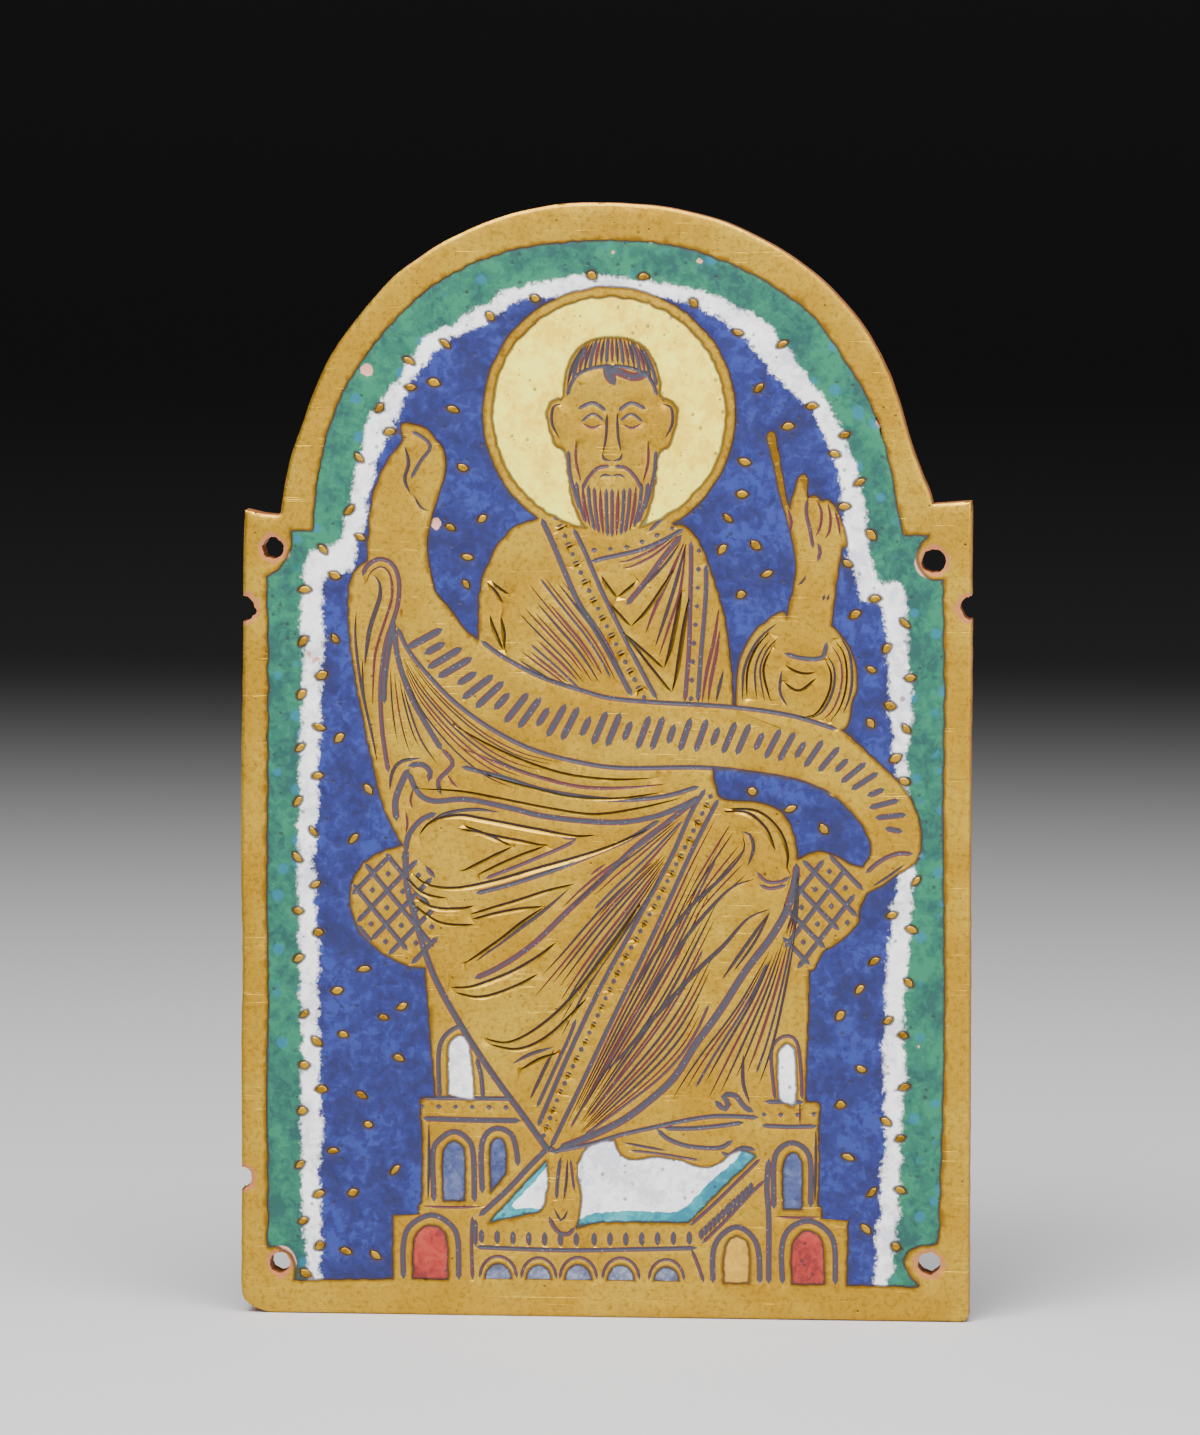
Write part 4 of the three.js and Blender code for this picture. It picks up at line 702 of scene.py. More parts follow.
def scroll_strokes():
    """A row of slanting strokes, long and short in turn, in place of writing."""
    size = SCROLL_STROKES
    row = curve(SCROLL_ROW, 2)
    slope = np.gradient(row, axis=0)
    slope /= np.hypot(*slope.T)[:, None]
    strokes = []
    for index in range(size["count"]):
        at = round((index + 0.5) * len(row) / size["count"])
        at = min(at, len(row) - 1)
        along, across = slope[at], np.array([slope[at][1], -slope[at][0]])
        narrow = 1 - 0.25 * index / size["count"]
        reach = (size["short"] if index % 3 == 1 else size["long"]) / 2 * narrow
        lean = (across + along * size["lean"]) * reach
        strokes.append(Stroke("B", size["width"] * narrow, [row[at] - lean, row[at], row[at] + lean], 4))
    return strokes


def tooth_strokes(count, length, path):
    line = curve(path, 2)
    at = np.linspace(0, len(line) - 1, count).round().astype(int)
    return [Stroke("B", 6, [line[i] - (0, length / 2), line[i] + (0, length / 2)], 3) for i in at]


def arch_strokes():
    strokes = []
    for middle, radius in STOOL_ARCHES:
        angles = np.linspace(math.pi, math.tau, 7)
        places = [(middle + (radius + 5) * math.cos(a), STOOL_ARCH_FOOT + (radius + 9) * math.sin(a))
                  for a in angles]
        strokes.append(Stroke("M", 3.5, places, 5))
    return strokes


def all_strokes(areas):
    rng = np.random.default_rng(7)
    plain = [CHEST, SLEEVE_LINES, LAP, CUFF_LINES, SCROLL_LINES, HAND_LINES, THRONE_LINES, STOOL_LINES,
             HAIR_LOSSES]
    strokes = [Stroke(*line) for group in plain for line in group]
    for kinds, width, count, ragged, guide_a, guide_b in CHEST_FANS + SLEEVE_FANS + LAP_FANS + CUFF_FANS:
        strokes += fan_strokes(kinds, width, count, ragged, guide_a, guide_b, rng)
    for _, pitch, bar, path in BANDS:
        strokes += band_strokes(pitch, bar, path, rng)
    for lattice in CUSHION_LATTICE:
        strokes += lattice_strokes(areas[lattice["outline"]], lattice["middle"], lattice["pitch"],
                                   lattice["angles"])
    strokes += mirrored_strokes()
    strokes += lock_strokes(**HAIR, kinds="DBR")
    strokes += lock_strokes(**BEARD, kinds="MRB")
    strokes += scroll_strokes()
    strokes += arch_strokes()
    for count, length, path in STOOL_TEETH.values():
        strokes += tooth_strokes(count, length, path)
    return strokes


# The sheet's one triangulation

STANDING = ("halo_disc", "body", "sleeve", "forearm", "scroll", "hand", "cuff", "cushion_left",
            "cushion_right", "throne", "neck")


def cell_areas():
    areas = {name: outline(runs, 3, 0.4, 9, 3) for name, runs in WINDOWS.items()}
    areas["stool_right"] = outline(STOOL_RIGHT, 4, 0.4, 12, 4)
    areas["stool_right_top"] = outline(STOOL_RIGHT_TOP, 4, 0.8, 10, 5)
    areas["stool_left"] = outline(STOOL_LEFT, 4, 0.4, 12, 6)
    areas["stool_left_top"] = outline(STOOL_LEFT_TOP, 4, 0.8, 10, 7)
    for index, (middle, radius) in enumerate(STOOL_ARCHES, 1):
        angles = np.linspace(math.pi, math.tau, 12)
        arch = np.column_stack([middle + radius * np.cos(angles),
                                STOOL_ARCH_FOOT + 1.15 * radius * np.sin(angles)])
        areas[f"stool_arch_{index}"] = arch if signed_area(arch) > 0 else arch[::-1]
    return areas


def field_areas():
    middle = HALO["middle"]
    areas = {
        "plate": outline(PLATE, 4, 0.22, 40, 11),
        "field": outline(FIELD, 3, 0.55, 18, 12),
        "green_inner": unevenness(outline(GREEN_INNER, 3), 1.5, 22, 13),
        "white_inner": unevenness(outline(WHITE_INNER, 3), 1.5, 22, 14),
        "halo_disc": unevenness(ring(middle, HALO["outer"], 3), 0.5, 20, 15),
        "halo_cell": unevenness(ring(middle, HALO["inner"], 3), 0.7, 14, 16),
        "head": outline(HEAD, 3, 0.4, 12, 17),
    }
    shapes = {"body": BODY, "sleeve": SLEEVE, "forearm": FOREARM, "scroll": SCROLL, "hand": HAND,
              "cuff": CUFF, "cushion_left": CUSHION_LEFT, "cushion_right": CUSHION_RIGHT, "throne": THRONE,
              "neck": NECK}
    for seed, (name, runs) in enumerate(shapes.items(), 20):
        areas[name] = outline(runs, 3, 0.5, 16, seed)
    return areas


def drop_rows(areas):
    """Places of the gold drops: two rows that follow the bands, and those scattered in the blue."""
    standing = [areas[name] for name in STANDING]
    near = [inset(shape, -7) for shape in standing] + [ring(at, radius + 12) for at, radius in NAIL_HOLES]
    size = DROPS_IN_ROWS
    rows = []
    for name, start in (("green_inner", size["green_start"]), ("white_inner", size["white_start"])):
        line = areas[name]
        along = np.concatenate([[0], np.cumsum(np.hypot(*np.diff(line, axis=0).T))])
        marks = np.arange(start, along[-1], size["pitch"])
        rows.append(np.column_stack([np.interp(marks, along, line[:, axis]) for axis in (0, 1)]))
    places = np.vstack([*rows, DROPS_IN_BLUE])
    free = holds(inset(areas["field"], 9), places)
    for shape in near:
        free &= ~holds(shape, places)
    kept = []
    for place in places[free][::-1]:
        if all(math.dist(place, other) > 22 for other in kept):
            kept.append(place)
    return np.array(kept)


DROP_SHAPE = [(-1.0, 0.25), (-0.55, -0.05), (0.0, -0.2), (0.55, -0.05), (1.0, 0.3), (0.82, 0.62), (0.45, 0.92),
              (0.0, 1.0), (-0.45, 0.9), (-0.8, 0.6)]


@functools.lru_cache(maxsize=1)
def drops():
    """Each gold drop's place, turn and size across and down."""
    rng = np.random.default_rng(31)
    places = drop_rows(field_areas())
    turns = rng.uniform(-0.9, 0.9, len(places)) + math.pi * rng.integers(0, 2, len(places))
    sizes = np.column_stack([rng.uniform(5.0, 6.8, len(places)), rng.uniform(4.6, 7.0, len(places))])
    return places, turns, sizes


def drop_outline(place, turn, size, spread=0.0):
    shape = np.array(DROP_SHAPE) * (np.array(size) + spread)
    turned = shape @ np.array([[math.cos(turn), math.sin(turn)], [-math.sin(turn), math.cos(turn)]])
    return turned + place


class Sheet:
    """The drawing cut into triangles, and what each triangle belongs to."""

    def __init__(self):
        self.areas = {**field_areas(), **cell_areas()}
        for index, (middle, radius) in enumerate(NAIL_HOLES):
            self.areas[f"hole_{index}"] = unevenness(ring(middle, radius, 2.5), 0.7, 9, 40 + index)
        for index, (middle, radius) in enumerate(NOTCHES):
            self.areas[f"notch_{index}"] = unevenness(ring(middle, radius, 2.5), 1.0, 9, 50 + index)
        for index, drop in enumerate(zip(*drops())):
            self.areas[f"drop_{index}"] = drop_outline(*drop, spread=0.4)
        self.strokes = all_strokes(self.areas)
        self.names = list(self.areas)
        self.cut()
        self.share_out()

    def cut(self):
        places, faces, edges = [], [], []

        def add(line):
            start = len(places)
            places.extend(line.tolist())
            return list(range(start, start + len(line)))

        for name in self.names:
            faces.append(add(self.areas[name]))
        for stroke in self.strokes:
            faces.append(add(stroke.outline))
            middle = add(stroke.middle)
            edges += list(zip(middle, middle[1:]))
        for distance in (1.5, 3.5):
            line = add(inset(self.areas["plate"], distance))
            edges += list(zip(line, line[1:] + line[:1]))
        add(self.loose_places())
        result = geometry.delaunay_2d_cdt([Vector(p) for p in places], edges, faces, 1, 1e-4, True)
        self.places = np.array([tuple(p) for p in result[0]])
        self.triangles = np.array(result[2])[:, ::-1]
        self.holders = result[5]

    def loose_places(self):
        """Places spread over the sheet: close together in the glass, wide apart in the metal."""
        rng = np.random.default_rng(5)
        glass, metal = 4.2, 11.0
        field = [self.areas["field"], self.areas["halo_cell"]]
        field += [self.areas[name] for name in self.names if name.startswith(("white_w", "blue_w", "red_",
                                                                             "yellow_", "stool_"))]
        standing = [self.areas[name] for name in STANDING if name != "halo_disc"] + [self.areas["head"]]
        sets = []
        for step, in_glass in ((glass, True), (metal, False)):
            us, vs = np.meshgrid(np.arange(240, 970, step), np.arange(206, 1322, step))
            grid = np.column_stack([us.ravel(), vs.ravel()])
            grid += rng.uniform(-0.35, 0.35, grid.shape) * step
            inside = np.zeros(len(grid), bool)
            inside |= holds(field[0], grid)
            for shape in standing:
                inside &= ~holds(shape, grid)
            for shape in field[2:]:
                inside |= holds(shape, grid)
            sets.append(grid[inside] if in_glass else grid[~inside & holds(self.areas["plate"], grid)])
        return np.vstack(sets)

    def share_out(self):
        count = len(self.names)
        self.owner, self.cuts = [], []
        for ids in self.holders:
            names = {self.names[i] for i in ids if i < count}
            self.owner.append(self.owner_of(names))
            self.cuts.append([i - count for i in ids if i >= count])
        self.owner = np.array(self.owner)

    @staticmethod
    def owner_of(names):
        if "plate" not in names or any(name.startswith(("hole_", "notch_")) for name in names):
            return "nothing"
        for name in names:
            if name in WINDOWS:
                return name
            if name.startswith("stool_arch"):
                return "stool_arch"
        for side in ("stool_right", "stool_left"):
            if side in names:
                return "stool_white" if f"{side}_top" in names else "stool_turquoise"
        if "field" in names and not names.intersection(STANDING):
            if any(name.startswith("drop_") for name in names) and not names.intersection(LUGS):
                return "drop"
            if "green_inner" not in names:
                return "green"
            return "blue" if "white_inner" in names else "white"
        if "halo_cell" in names and not names.intersection(("head", "body", "sleeve", "scroll")):
            return "halo"
        return "metal"


LUGS = ()


@functools.lru_cache(maxsize=1)
def sheet():
    return Sheet()


# Meshes


def to_metres(places, depth):
    """Places on the sheet as corners in the part's frame, at their depths."""
    offset = (np.asarray(places, float) - SHEET_ORIGIN) * SQUARE
    return np.column_stack([offset[:, 0], np.broadcast_to(depth, len(offset)), -offset[:, 1]])


def edge_loops(triangles):
    """The closed loops of corners round a patch of triangles."""
    forward = {}
    seen = set()
    for a, b, c in triangles.tolist():
        seen.update(((a, b), (b, c), (c, a)))
    for a, b in seen:
        if (b, a) not in seen:
            forward.setdefault(a, []).append(b)
    loops = []
    for start in sorted(forward):
        while forward.get(start):
            loop = [start]
            step = forward[start].pop()
            while step != start:
                loop.append(step)
                step = forward[step].pop()
            loops.append(loop)
    return loops


def filled(loops, places, extra=()):
    """Triangles over what lies inside an odd number of loops. Extra places come after the loops' own."""
    corners, faces = [], []
    for loop in loops:
        start = len(corners)
        corners += [tuple(p) for p in places[loop]]
        face = list(range(start, len(corners)))
        faces.append(face if signed_area(places[loop]) > 0 else face[::-1])
    corners += [tuple(p) for p in extra]
    result = geometry.delaunay_2d_cdt([Vector(p) for p in corners], [], faces, 1, 1e-5, True)
    source = [origin[0] if origin else -1 for origin in result[3]]
    if min(source) < 0:
        raise RuntimeError("two edges of one piece cross on the sheet")
    odd = [tri[::-1] for tri, ids in zip(result[2], result[5]) if len(ids) % 2]
    return [[source[i] for i in tri] for tri in odd]


class Piece:
    """A piece's corners and faces as they are put together."""

    def __init__(self):
        self.corners, self.faces, self.marks, self.marks_of_faces = [], [], [], []
        self.count = 0

    def add_corners(self, corners, marks):
        start = self.count
        self.corners.append(corners)
        self.marks.append(np.broadcast_to(marks, (len(corners), len(MARKS))))
        self.count += len(corners)
        return start

    def add_faces(self, faces, material):
        self.faces += [tuple(face) for face in faces]
        self.marks_of_faces += [material] * len(faces)

    def build(self, name, materials, smooth_below=35):
        mesh = bpy.data.meshes.new(name)
        mesh.from_pydata(np.vstack(self.corners).tolist(), [], self.faces)
        for index, mark in enumerate(MARKS):
            layer = mesh.attributes.new(mark, "FLOAT", "POINT")
            layer.data.foreach_set("value", np.vstack(self.marks)[:, index].astype(np.float32))
        for material in materials:
            mesh.materials.append(material)
        mesh.polygons.foreach_set("material_index", self.marks_of_faces)
        mesh.polygons.foreach_set("use_smooth", [True] * len(self.faces))
        mesh.validate()
        mesh.set_sharp_from_angle(angle=math.radians(smooth_below))
        mesh.update()
        made = bpy.data.objects.new(name, mesh)
        bpy.context.scene.collection.objects.link(made)
        return made


MARKS = ("core", "blue_share", "soot_and_shade", "rim", "wear", "outer_way", "inner_way")


# The heights and marks of the sheet's corners

METAL_LEVEL = FRONT + 0.00005
GLASS_LEVEL = FRONT + 0.00008
EDGE_DROP = 0.00014
RIM_DIP = 0.00005
PLATE_EDGE_REACH = 4.0
HOLE_REACH = 9.0
# Places where the glass is chipped or pitted: place, radius in squares, depth in metres
CHIPS = [
    ((366, 371), 9, 0.0002), ((435, 524), 8, 0.00016), ((313, 662), 4, 0.00022), ((307, 656), 3.5, 0.0002),
    ((878, 421), 5, 0.0003), ((882, 430), 4, 0.0003), ((965, 1200), 3, 0.0001), ((921, 1046), 3, 0.0001),
    ((612, 252), 3, 0.0001), ((640, 256), 2.5, 0.0001), ((668, 251), 3, 0.0001), ((700, 262), 4, 0.00016),
]


def nearness(places, targets, reach):
    """1 where a place is on a target, falling to 0 at that reach."""
    tree = kdtree.KDTree(len(targets))
    for index, (u, v) in enumerate(targets):
        tree.insert((u, v, 0), index)
    tree.balance()
    away = np.array([tree.find((u, v, 0))[2] for u, v in places])
    return np.clip(1 - away / reach, 0, 1)


def way_inside(closed, places, reach=60):
    """How far each place is inside a closed outline, in squares, less than nothing outside it."""
    after = np.roll(closed, -1, axis=0)
    dense = np.vstack([closed + (after - closed) * share for share in (0, 0.33, 0.67)])
    away = (1 - nearness(places, dense, reach)) * reach
    return np.where(holds(closed, places), away, -away)


def waviness(places, wave, seed):
    """A gentle unevenness of a hand-made surface, between -1 and 1."""
    rng = np.random.default_rng(seed)
    total = np.zeros(len(places))
    for _ in range(6):
        turn, phase = rng.uniform(0, math.tau, 2)
        beat = math.tau / (wave * rng.uniform(0.6, 1.7))
        total += np.sin(beat * (places @ (math.cos(turn), math.sin(turn))) + phase)
    return total / 6


@functools.lru_cache(maxsize=1)
def surface():
    """For every corner of the sheet its depth as metal and as glass, and its marks."""
    whole = sheet()
    places, count = whole.places, len(whole.places)
    marks = np.zeros((count, len(MARKS)))
    in_metal = whole.owner == "metal"
    in_glass = ~np.isin(whole.owner, ("metal", "nothing", "drop"))
    metal_corners = np.unique(whole.triangles[in_metal])
    glass_corners = np.unique(whole.triangles[in_glass])
    drop_corners = np.unique(whole.triangles[whole.owner == "drop"])
    meeting = np.intersect1d(np.union1d(metal_corners, drop_corners), glass_corners)
    marks[:, 3] = nearness(places, places[meeting], 6.0)
    holes = [whole.areas[name] for name in whole.names if name.startswith(("hole_", "notch_"))]
    round_holes = np.vstack(holes)
    near_hole = nearness(places, round_holes, HOLE_REACH)
    near_edge = nearness(places, whole.areas["plate"], PLATE_EDGE_REACH)
    marks[:, 4] = np.maximum(near_hole, 0.55 * near_edge)
    marks[:, 5] = way_inside(whole.areas["green_inner"], places)
    marks[:, 6] = way_inside(whole.areas["white_inner"], places)

    groove = engrave(whole, in_metal, marks)
    metal = METAL_LEVEL + 0.00002 * waviness(places, 90, 61) + 0.000008 * waviness(places, 22, 62)
    metal += groove * SQUARE + EDGE_DROP * near_edge**2 + 0.00008 * near_hole**2 + 0.00001 * marks[:, 3] ** 3
    glass = GLASS_LEVEL + 0.00003 * waviness(places, 45, 63) + 0.000012 * waviness(places, 15, 64)
    glass += RIM_DIP * marks[:, 3] ** 2
    for middle, radius, depth in CHIPS:
        within = np.clip(1 - np.hypot(*(places - middle).T) / radius, 0, 1)
        glass += depth * np.sqrt(within)
        marks[:, 4] = np.maximum(marks[:, 4], within)
    return np.maximum(metal, FRONT + 0.000005), np.maximum(glass, FRONT + 0.00001), marks


def engrave(whole, in_metal, marks):
    """Depth of the engraved lines at every corner, in squares, with the lines' marks filled in."""
    depth = np.zeros(len(whole.places))
    members = {}
    for index in np.flatnonzero(in_metal):
        for cut in whole.cuts[index]:
            members.setdefault(cut, set()).update(whole.triangles[index].tolist())
    for cut, corners in members.items():
        stroke = whole.strokes[cut]
        kind = KINDS[stroke.kind]
        corners = np.array(sorted(corners))
        away, half, _ = stroke.measure(whole.places[corners])
        share = np.clip(1 - away / half, 0, 1)
        depth[corners] = np.maximum(depth[corners], kind["depth"] * share)
        marks[corners, 0] = np.maximum(marks[corners, 0], share)
        marks[corners, 1] = np.maximum(marks[corners, 1], kind["blue"])
        marks[corners, 2] = np.maximum(marks[corners, 2], kind["soot_and_shade"])
    return depth


GILT, FILL, BARE = range(3)


def metal_faces(whole, chosen):
    """Which material each of the copper's triangles shows."""
    middles = whole.places[whole.triangles[chosen]].mean(1)
    shown = []
    for middle, index in zip(middles, chosen):
        kinds = [whole.strokes[cut] for cut in whole.cuts[index]]
        opened = [stroke for stroke in kinds if KINDS[stroke.kind]["open"]]
        if opened:
            # Painted shade with dirt: an open cut's upper wall takes the dark fill, its lower wall the gilt.
            upper = any(stroke.measure(middle[None])[2][0] for stroke in opened)
            shown.append(FILL if upper else GILT)
        else:
            shown.append(FILL if kinds else GILT)
    return shown


# Pieces


def merge_low(piece, loops, places, depth, mark):
    """Adds the lower ends of the walls, and gives for each loop the corners they stand on."""
    lows = []
    for loop in loops:
        start = piece.add_corners(to_metres(places[loop], depth), mark)
        lows.append(list(range(start, start + len(loop))))
    return lows


def add_wall(piece, upper, lower, material):
    for high, low in zip(upper, lower):
        after_high, after_low = high[1:] + high[:1], low[1:] + low[:1]
        faces = [(b, a, c, d) for a, b, c, d in zip(high, after_high, low, after_low)]
        piece.add_faces(faces, material)


def cap(lows, loops, places, extra=()):
    """Triangles that close the lower ends, as corner numbers; extra places count on from minus one down."""
    flat = [corner for low in lows for corner in low]
    faces = []
    for tri in filled(loops, places, extra):
        faces.append([flat[i] if i < len(flat) else -1 - (i - len(flat)) for i in tri])
    return faces


def front_patch(piece, chosen, depth, marks):
    """Adds the sheet's chosen triangles, and gives the loops round them in the sheet's and the piece's numbers."""
    whole = sheet()
    triangles = whole.triangles[chosen]
    used = np.unique(triangles)
    number = np.full(len(whole.places), -1)
    number[used] = piece.count + np.arange(len(used))
    piece.add_corners(to_metres(whole.places[used], depth[used]), marks[used])
    loops = edge_loops(triangles)
    return number[triangles].tolist(), loops, [[int(number[i]) for i in loop] for loop in loops]


def glass_body(name, owners, materials):
    """One body of glass: its front from the sheet, straight sides and a flat underside."""
    whole = sheet()
    _, depth, marks = surface()
    chosen = np.flatnonzero(np.isin(whole.owner, owners))
    piece = Piece()
    faces, loops, uppers = front_patch(piece, chosen, depth, marks)
    piece.add_faces(faces, 0)
    lows = merge_low(piece, loops, whole.places, GLASS_UNDERSIDE - 0.000002, np.zeros(len(MARKS)))
    add_wall(piece, uppers, lows, 0)
    piece.add_faces([face[::-1] for face in cap(lows, loops, whole.places)], 0)
    return piece.build(name, materials)


def copper_body(name, materials):
    """The plate: engraved front, cells with their floors, worn edges and a hammered back."""
    whole = sheet()
    depth, _, marks = surface()
    chosen = np.flatnonzero(whole.owner == "metal")
    piece = Piece()
    faces, loops, uppers = front_patch(piece, chosen, depth, marks)
    for face, material in zip(faces, metal_faces(whole, chosen)):
        piece.add_faces([face], material)
    glass = np.isin(whole.owner, ("metal", "nothing"), invert=True)
    beside_glass = set(np.unique(whole.triangles[glass]).tolist())
    in_cell = [all(corner in beside_glass for corner in loop) for loop in loops]

    def pick(values, wanted):
        return [value for value, cell in zip(values, in_cell) if cell == wanted]

    cells, cell_tops = pick(loops, True), pick(uppers, True)
    lows = merge_low(piece, cells, whole.places, CELL_FLOOR, np.zeros(len(MARKS)))
    add_wall(piece, cell_tops, lows, GILT)
    piece.add_faces(cap(lows, cells, whole.places), BARE)

    outer, above = pick(loops, False), pick(uppers, False)
    worn = np.zeros(len(MARKS))
    for share, wear in ((0.12, 0.45), (0.5, 0.8), (0.96, 1.0)):
        worn[4] = wear
        lows = merge_low(piece, outer, whole.places, FRONT + share * (BACK - FRONT), worn)
        add_wall(piece, above, lows, GILT)
        above = lows
    us, vs = np.meshgrid(np.arange(244, 968, 13), np.arange(208, 1322, 13))
    spots = np.column_stack([us.ravel(), vs.ravel()]) + np.random.default_rng(8).uniform(-4, 4, (us.size, 2))
    free = holds(inset(whole.areas["plate"], 5), spots)
    for area in (name for name in whole.names if name.startswith(("hole_", "notch_"))):
        free &= ~holds(inset(whole.areas[area], -4), spots)
    spots = spots[free]
    dents = BACK - 0.00004 * (1 + waviness(spots, 60, 71)) * np.random.default_rng(9).uniform(0.2, 1, len(spots))
    start = piece.add_corners(to_metres(spots, dents), worn)
    back = [[i if i >= 0 else start - 1 - i for i in face[::-1]] for face in cap(lows, outer, whole.places, spots)]
    piece.add_faces(back, BARE)
    return piece.build(name, materials)


# Gold drops, repeated by a node tree


def socket(tree, name, kind, value=None, output=False):
    made = tree.interface.new_socket(name=name, in_out="OUTPUT" if output else "INPUT", socket_type=kind)
    if value is not None:
        made.default_value = value
    return made


def drop_template():
    """A low half-moon one step wide and high, its top at 0 and its foot at 1 along +Y."""
    shape = np.array(DROP_SHAPE)
    rings = [(0.62, 0.0), (0.9, 0.02), (1.0, 0.07), (1.0, 1.0)]
    middle = shape.mean(0)
    corners, faces, size = [(middle[0], 0.0, -middle[1])], [], len(shape)
    for grow, depth in rings:
        corners += [(u, depth, -v) for u, v in middle + (shape - middle) * grow]
    for i in range(size):
        after = (i + 1) % size
        faces.append((0, 1 + i, 1 + after))
        for level in range(len(rings) - 1):
            low = 1 + level * size
            faces.append((low + i, low + size + i, low + size + after, low + after))
    corners.append((middle[0], 1.0, -middle[1]))
    last = 1 + (len(rings) - 1) * size
    faces += [(len(corners) - 1, last + (i + 1) % size, last + i) for i in range(size)]
    mesh = bpy.data.meshes.new("drop_template")
    mesh.from_pydata(corners, [], [face[::-1] for face in faces])
    mesh.update()
    made = bpy.data.objects.new("drop_template", mesh)
    bpy.context.scene.collection.objects.link(made)
    return made


def drops_tree(template, material):
    """Stands a drop on every point, turned and sized by the point's own attributes."""
    tree = bpy.data.node_groups.new("gold_drops", "GeometryNodeTree")
    socket(tree, "Geometry", "NodeSocketGeometry")
    square = socket(tree, "Square", "NodeSocketFloat", SQUARE)
    height = socket(tree, "Height", "NodeSocketFloat", 0.001)
    socket(tree, "Geometry", "NodeSocketGeometry", output=True)
    nodes, links = tree.nodes, tree.links
    given, result = nodes.new("NodeGroupInput"), nodes.new("NodeGroupOutput")
    source = nodes.new("GeometryNodeObjectInfo")
    source.inputs["Object"].default_value = template
    turn, size = nodes.new("GeometryNodeInputNamedAttribute"), nodes.new("GeometryNodeInputNamedAttribute")
    turn.inputs["Name"].default_value, size.inputs["Name"].default_value = "turn", "size"
    size.data_type = "FLOAT_VECTOR"
    split, scale = nodes.new("ShaderNodeSeparateXYZ"), nodes.new("ShaderNodeCombineXYZ")
    wide, high = nodes.new("ShaderNodeMath"), nodes.new("ShaderNodeMath")
    wide.operation = high.operation = "MULTIPLY"
    angles, rotation = nodes.new("ShaderNodeCombineXYZ"), nodes.new("FunctionNodeEulerToRotation")
    stand = nodes.new("GeometryNodeInstanceOnPoints")
    real, paint = nodes.new("GeometryNodeRealizeInstances"), nodes.new("GeometryNodeSetMaterial")
    paint.inputs["Material"].default_value = material
    links.new(size.outputs["Attribute"], split.inputs[0])
    links.new(split.outputs["X"], wide.inputs[0])
    links.new(given.outputs["Square"], wide.inputs[1])
    links.new(split.outputs["Z"], high.inputs[0])
    links.new(given.outputs["Square"], high.inputs[1])
    links.new(wide.outputs[0], scale.inputs["X"])
    links.new(given.outputs["Height"], scale.inputs["Y"])
    links.new(high.outputs[0], scale.inputs["Z"])
    links.new(turn.outputs["Attribute"], angles.inputs["Y"])
    links.new(angles.outputs[0], rotation.inputs[0])
    links.new(given.outputs["Geometry"], stand.inputs["Points"])
    links.new(source.outputs["Geometry"], stand.inputs["Instance"])
    links.new(rotation.outputs[0], stand.inputs["Rotation"])
    links.new(scale.outputs[0], stand.inputs["Scale"])
    links.new(stand.outputs["Instances"], real.inputs["Geometry"])
    links.new(real.outputs["Geometry"], paint.inputs["Geometry"])
    links.new(paint.outputs["Geometry"], result.inputs["Geometry"])
    return tree, square.identifier, height.identifier


def drops_body(name, material):
    places, turns, sizes = drops()
    points = bpy.data.meshes.new("drop_points")
    points.from_pydata(to_metres(places, METAL_LEVEL - 0.00001).tolist(), [], [])
    points.attributes.new("turn", "FLOAT", "POINT").data.foreach_set("value", turns.astype(np.float32))
    sized = np.column_stack([sizes[:, 0], np.zeros(len(sizes)), sizes[:, 1]]).astype(np.float32)
    points.attributes.new("size", "FLOAT_VECTOR", "POINT").data.foreach_set("vector", sized.ravel())
    carrier = bpy.data.objects.new("drop_points", points)
    bpy.context.scene.collection.objects.link(carrier)
    template = drop_template()
    tree, square, height = drops_tree(template, material)
    modifier = carrier.modifiers.new("drops", "NODES")
    modifier.node_group = tree
    modifier[square] = SQUARE
    modifier[height] = CELL_FLOOR - METAL_LEVEL - 0.00002
    bpy.context.view_layer.update()
    evaluated = carrier.evaluated_get(bpy.context.evaluated_depsgraph_get())
    mesh = bpy.data.meshes.new_from_object(evaluated)
    carrier.modifiers.remove(modifier)
    for spent in (carrier, template):
        bpy.data.objects.remove(spent)
    mesh.name = name
    for mark in MARKS:
        if mark not in mesh.attributes:
            mesh.attributes.new(mark, "FLOAT", "POINT")
    mesh.polygons.foreach_set("use_smooth", [True] * len(mesh.polygons))
    mesh.set_sharp_from_angle(angle=math.radians(50))
    made = bpy.data.objects.new(name, mesh)
    bpy.context.scene.collection.objects.link(made)
    return made


# Materials


def tint(red, green, blue):
    """A colour as paint charts give it, 0 to 255, turned into the render's own measure."""
    def straight(value):
        value /= 255
        return value / 12.92 if value <= 0.04045 else ((value + 0.055) / 1.055) ** 2.4
    return (straight(red), straight(green), straight(blue), 1.0)


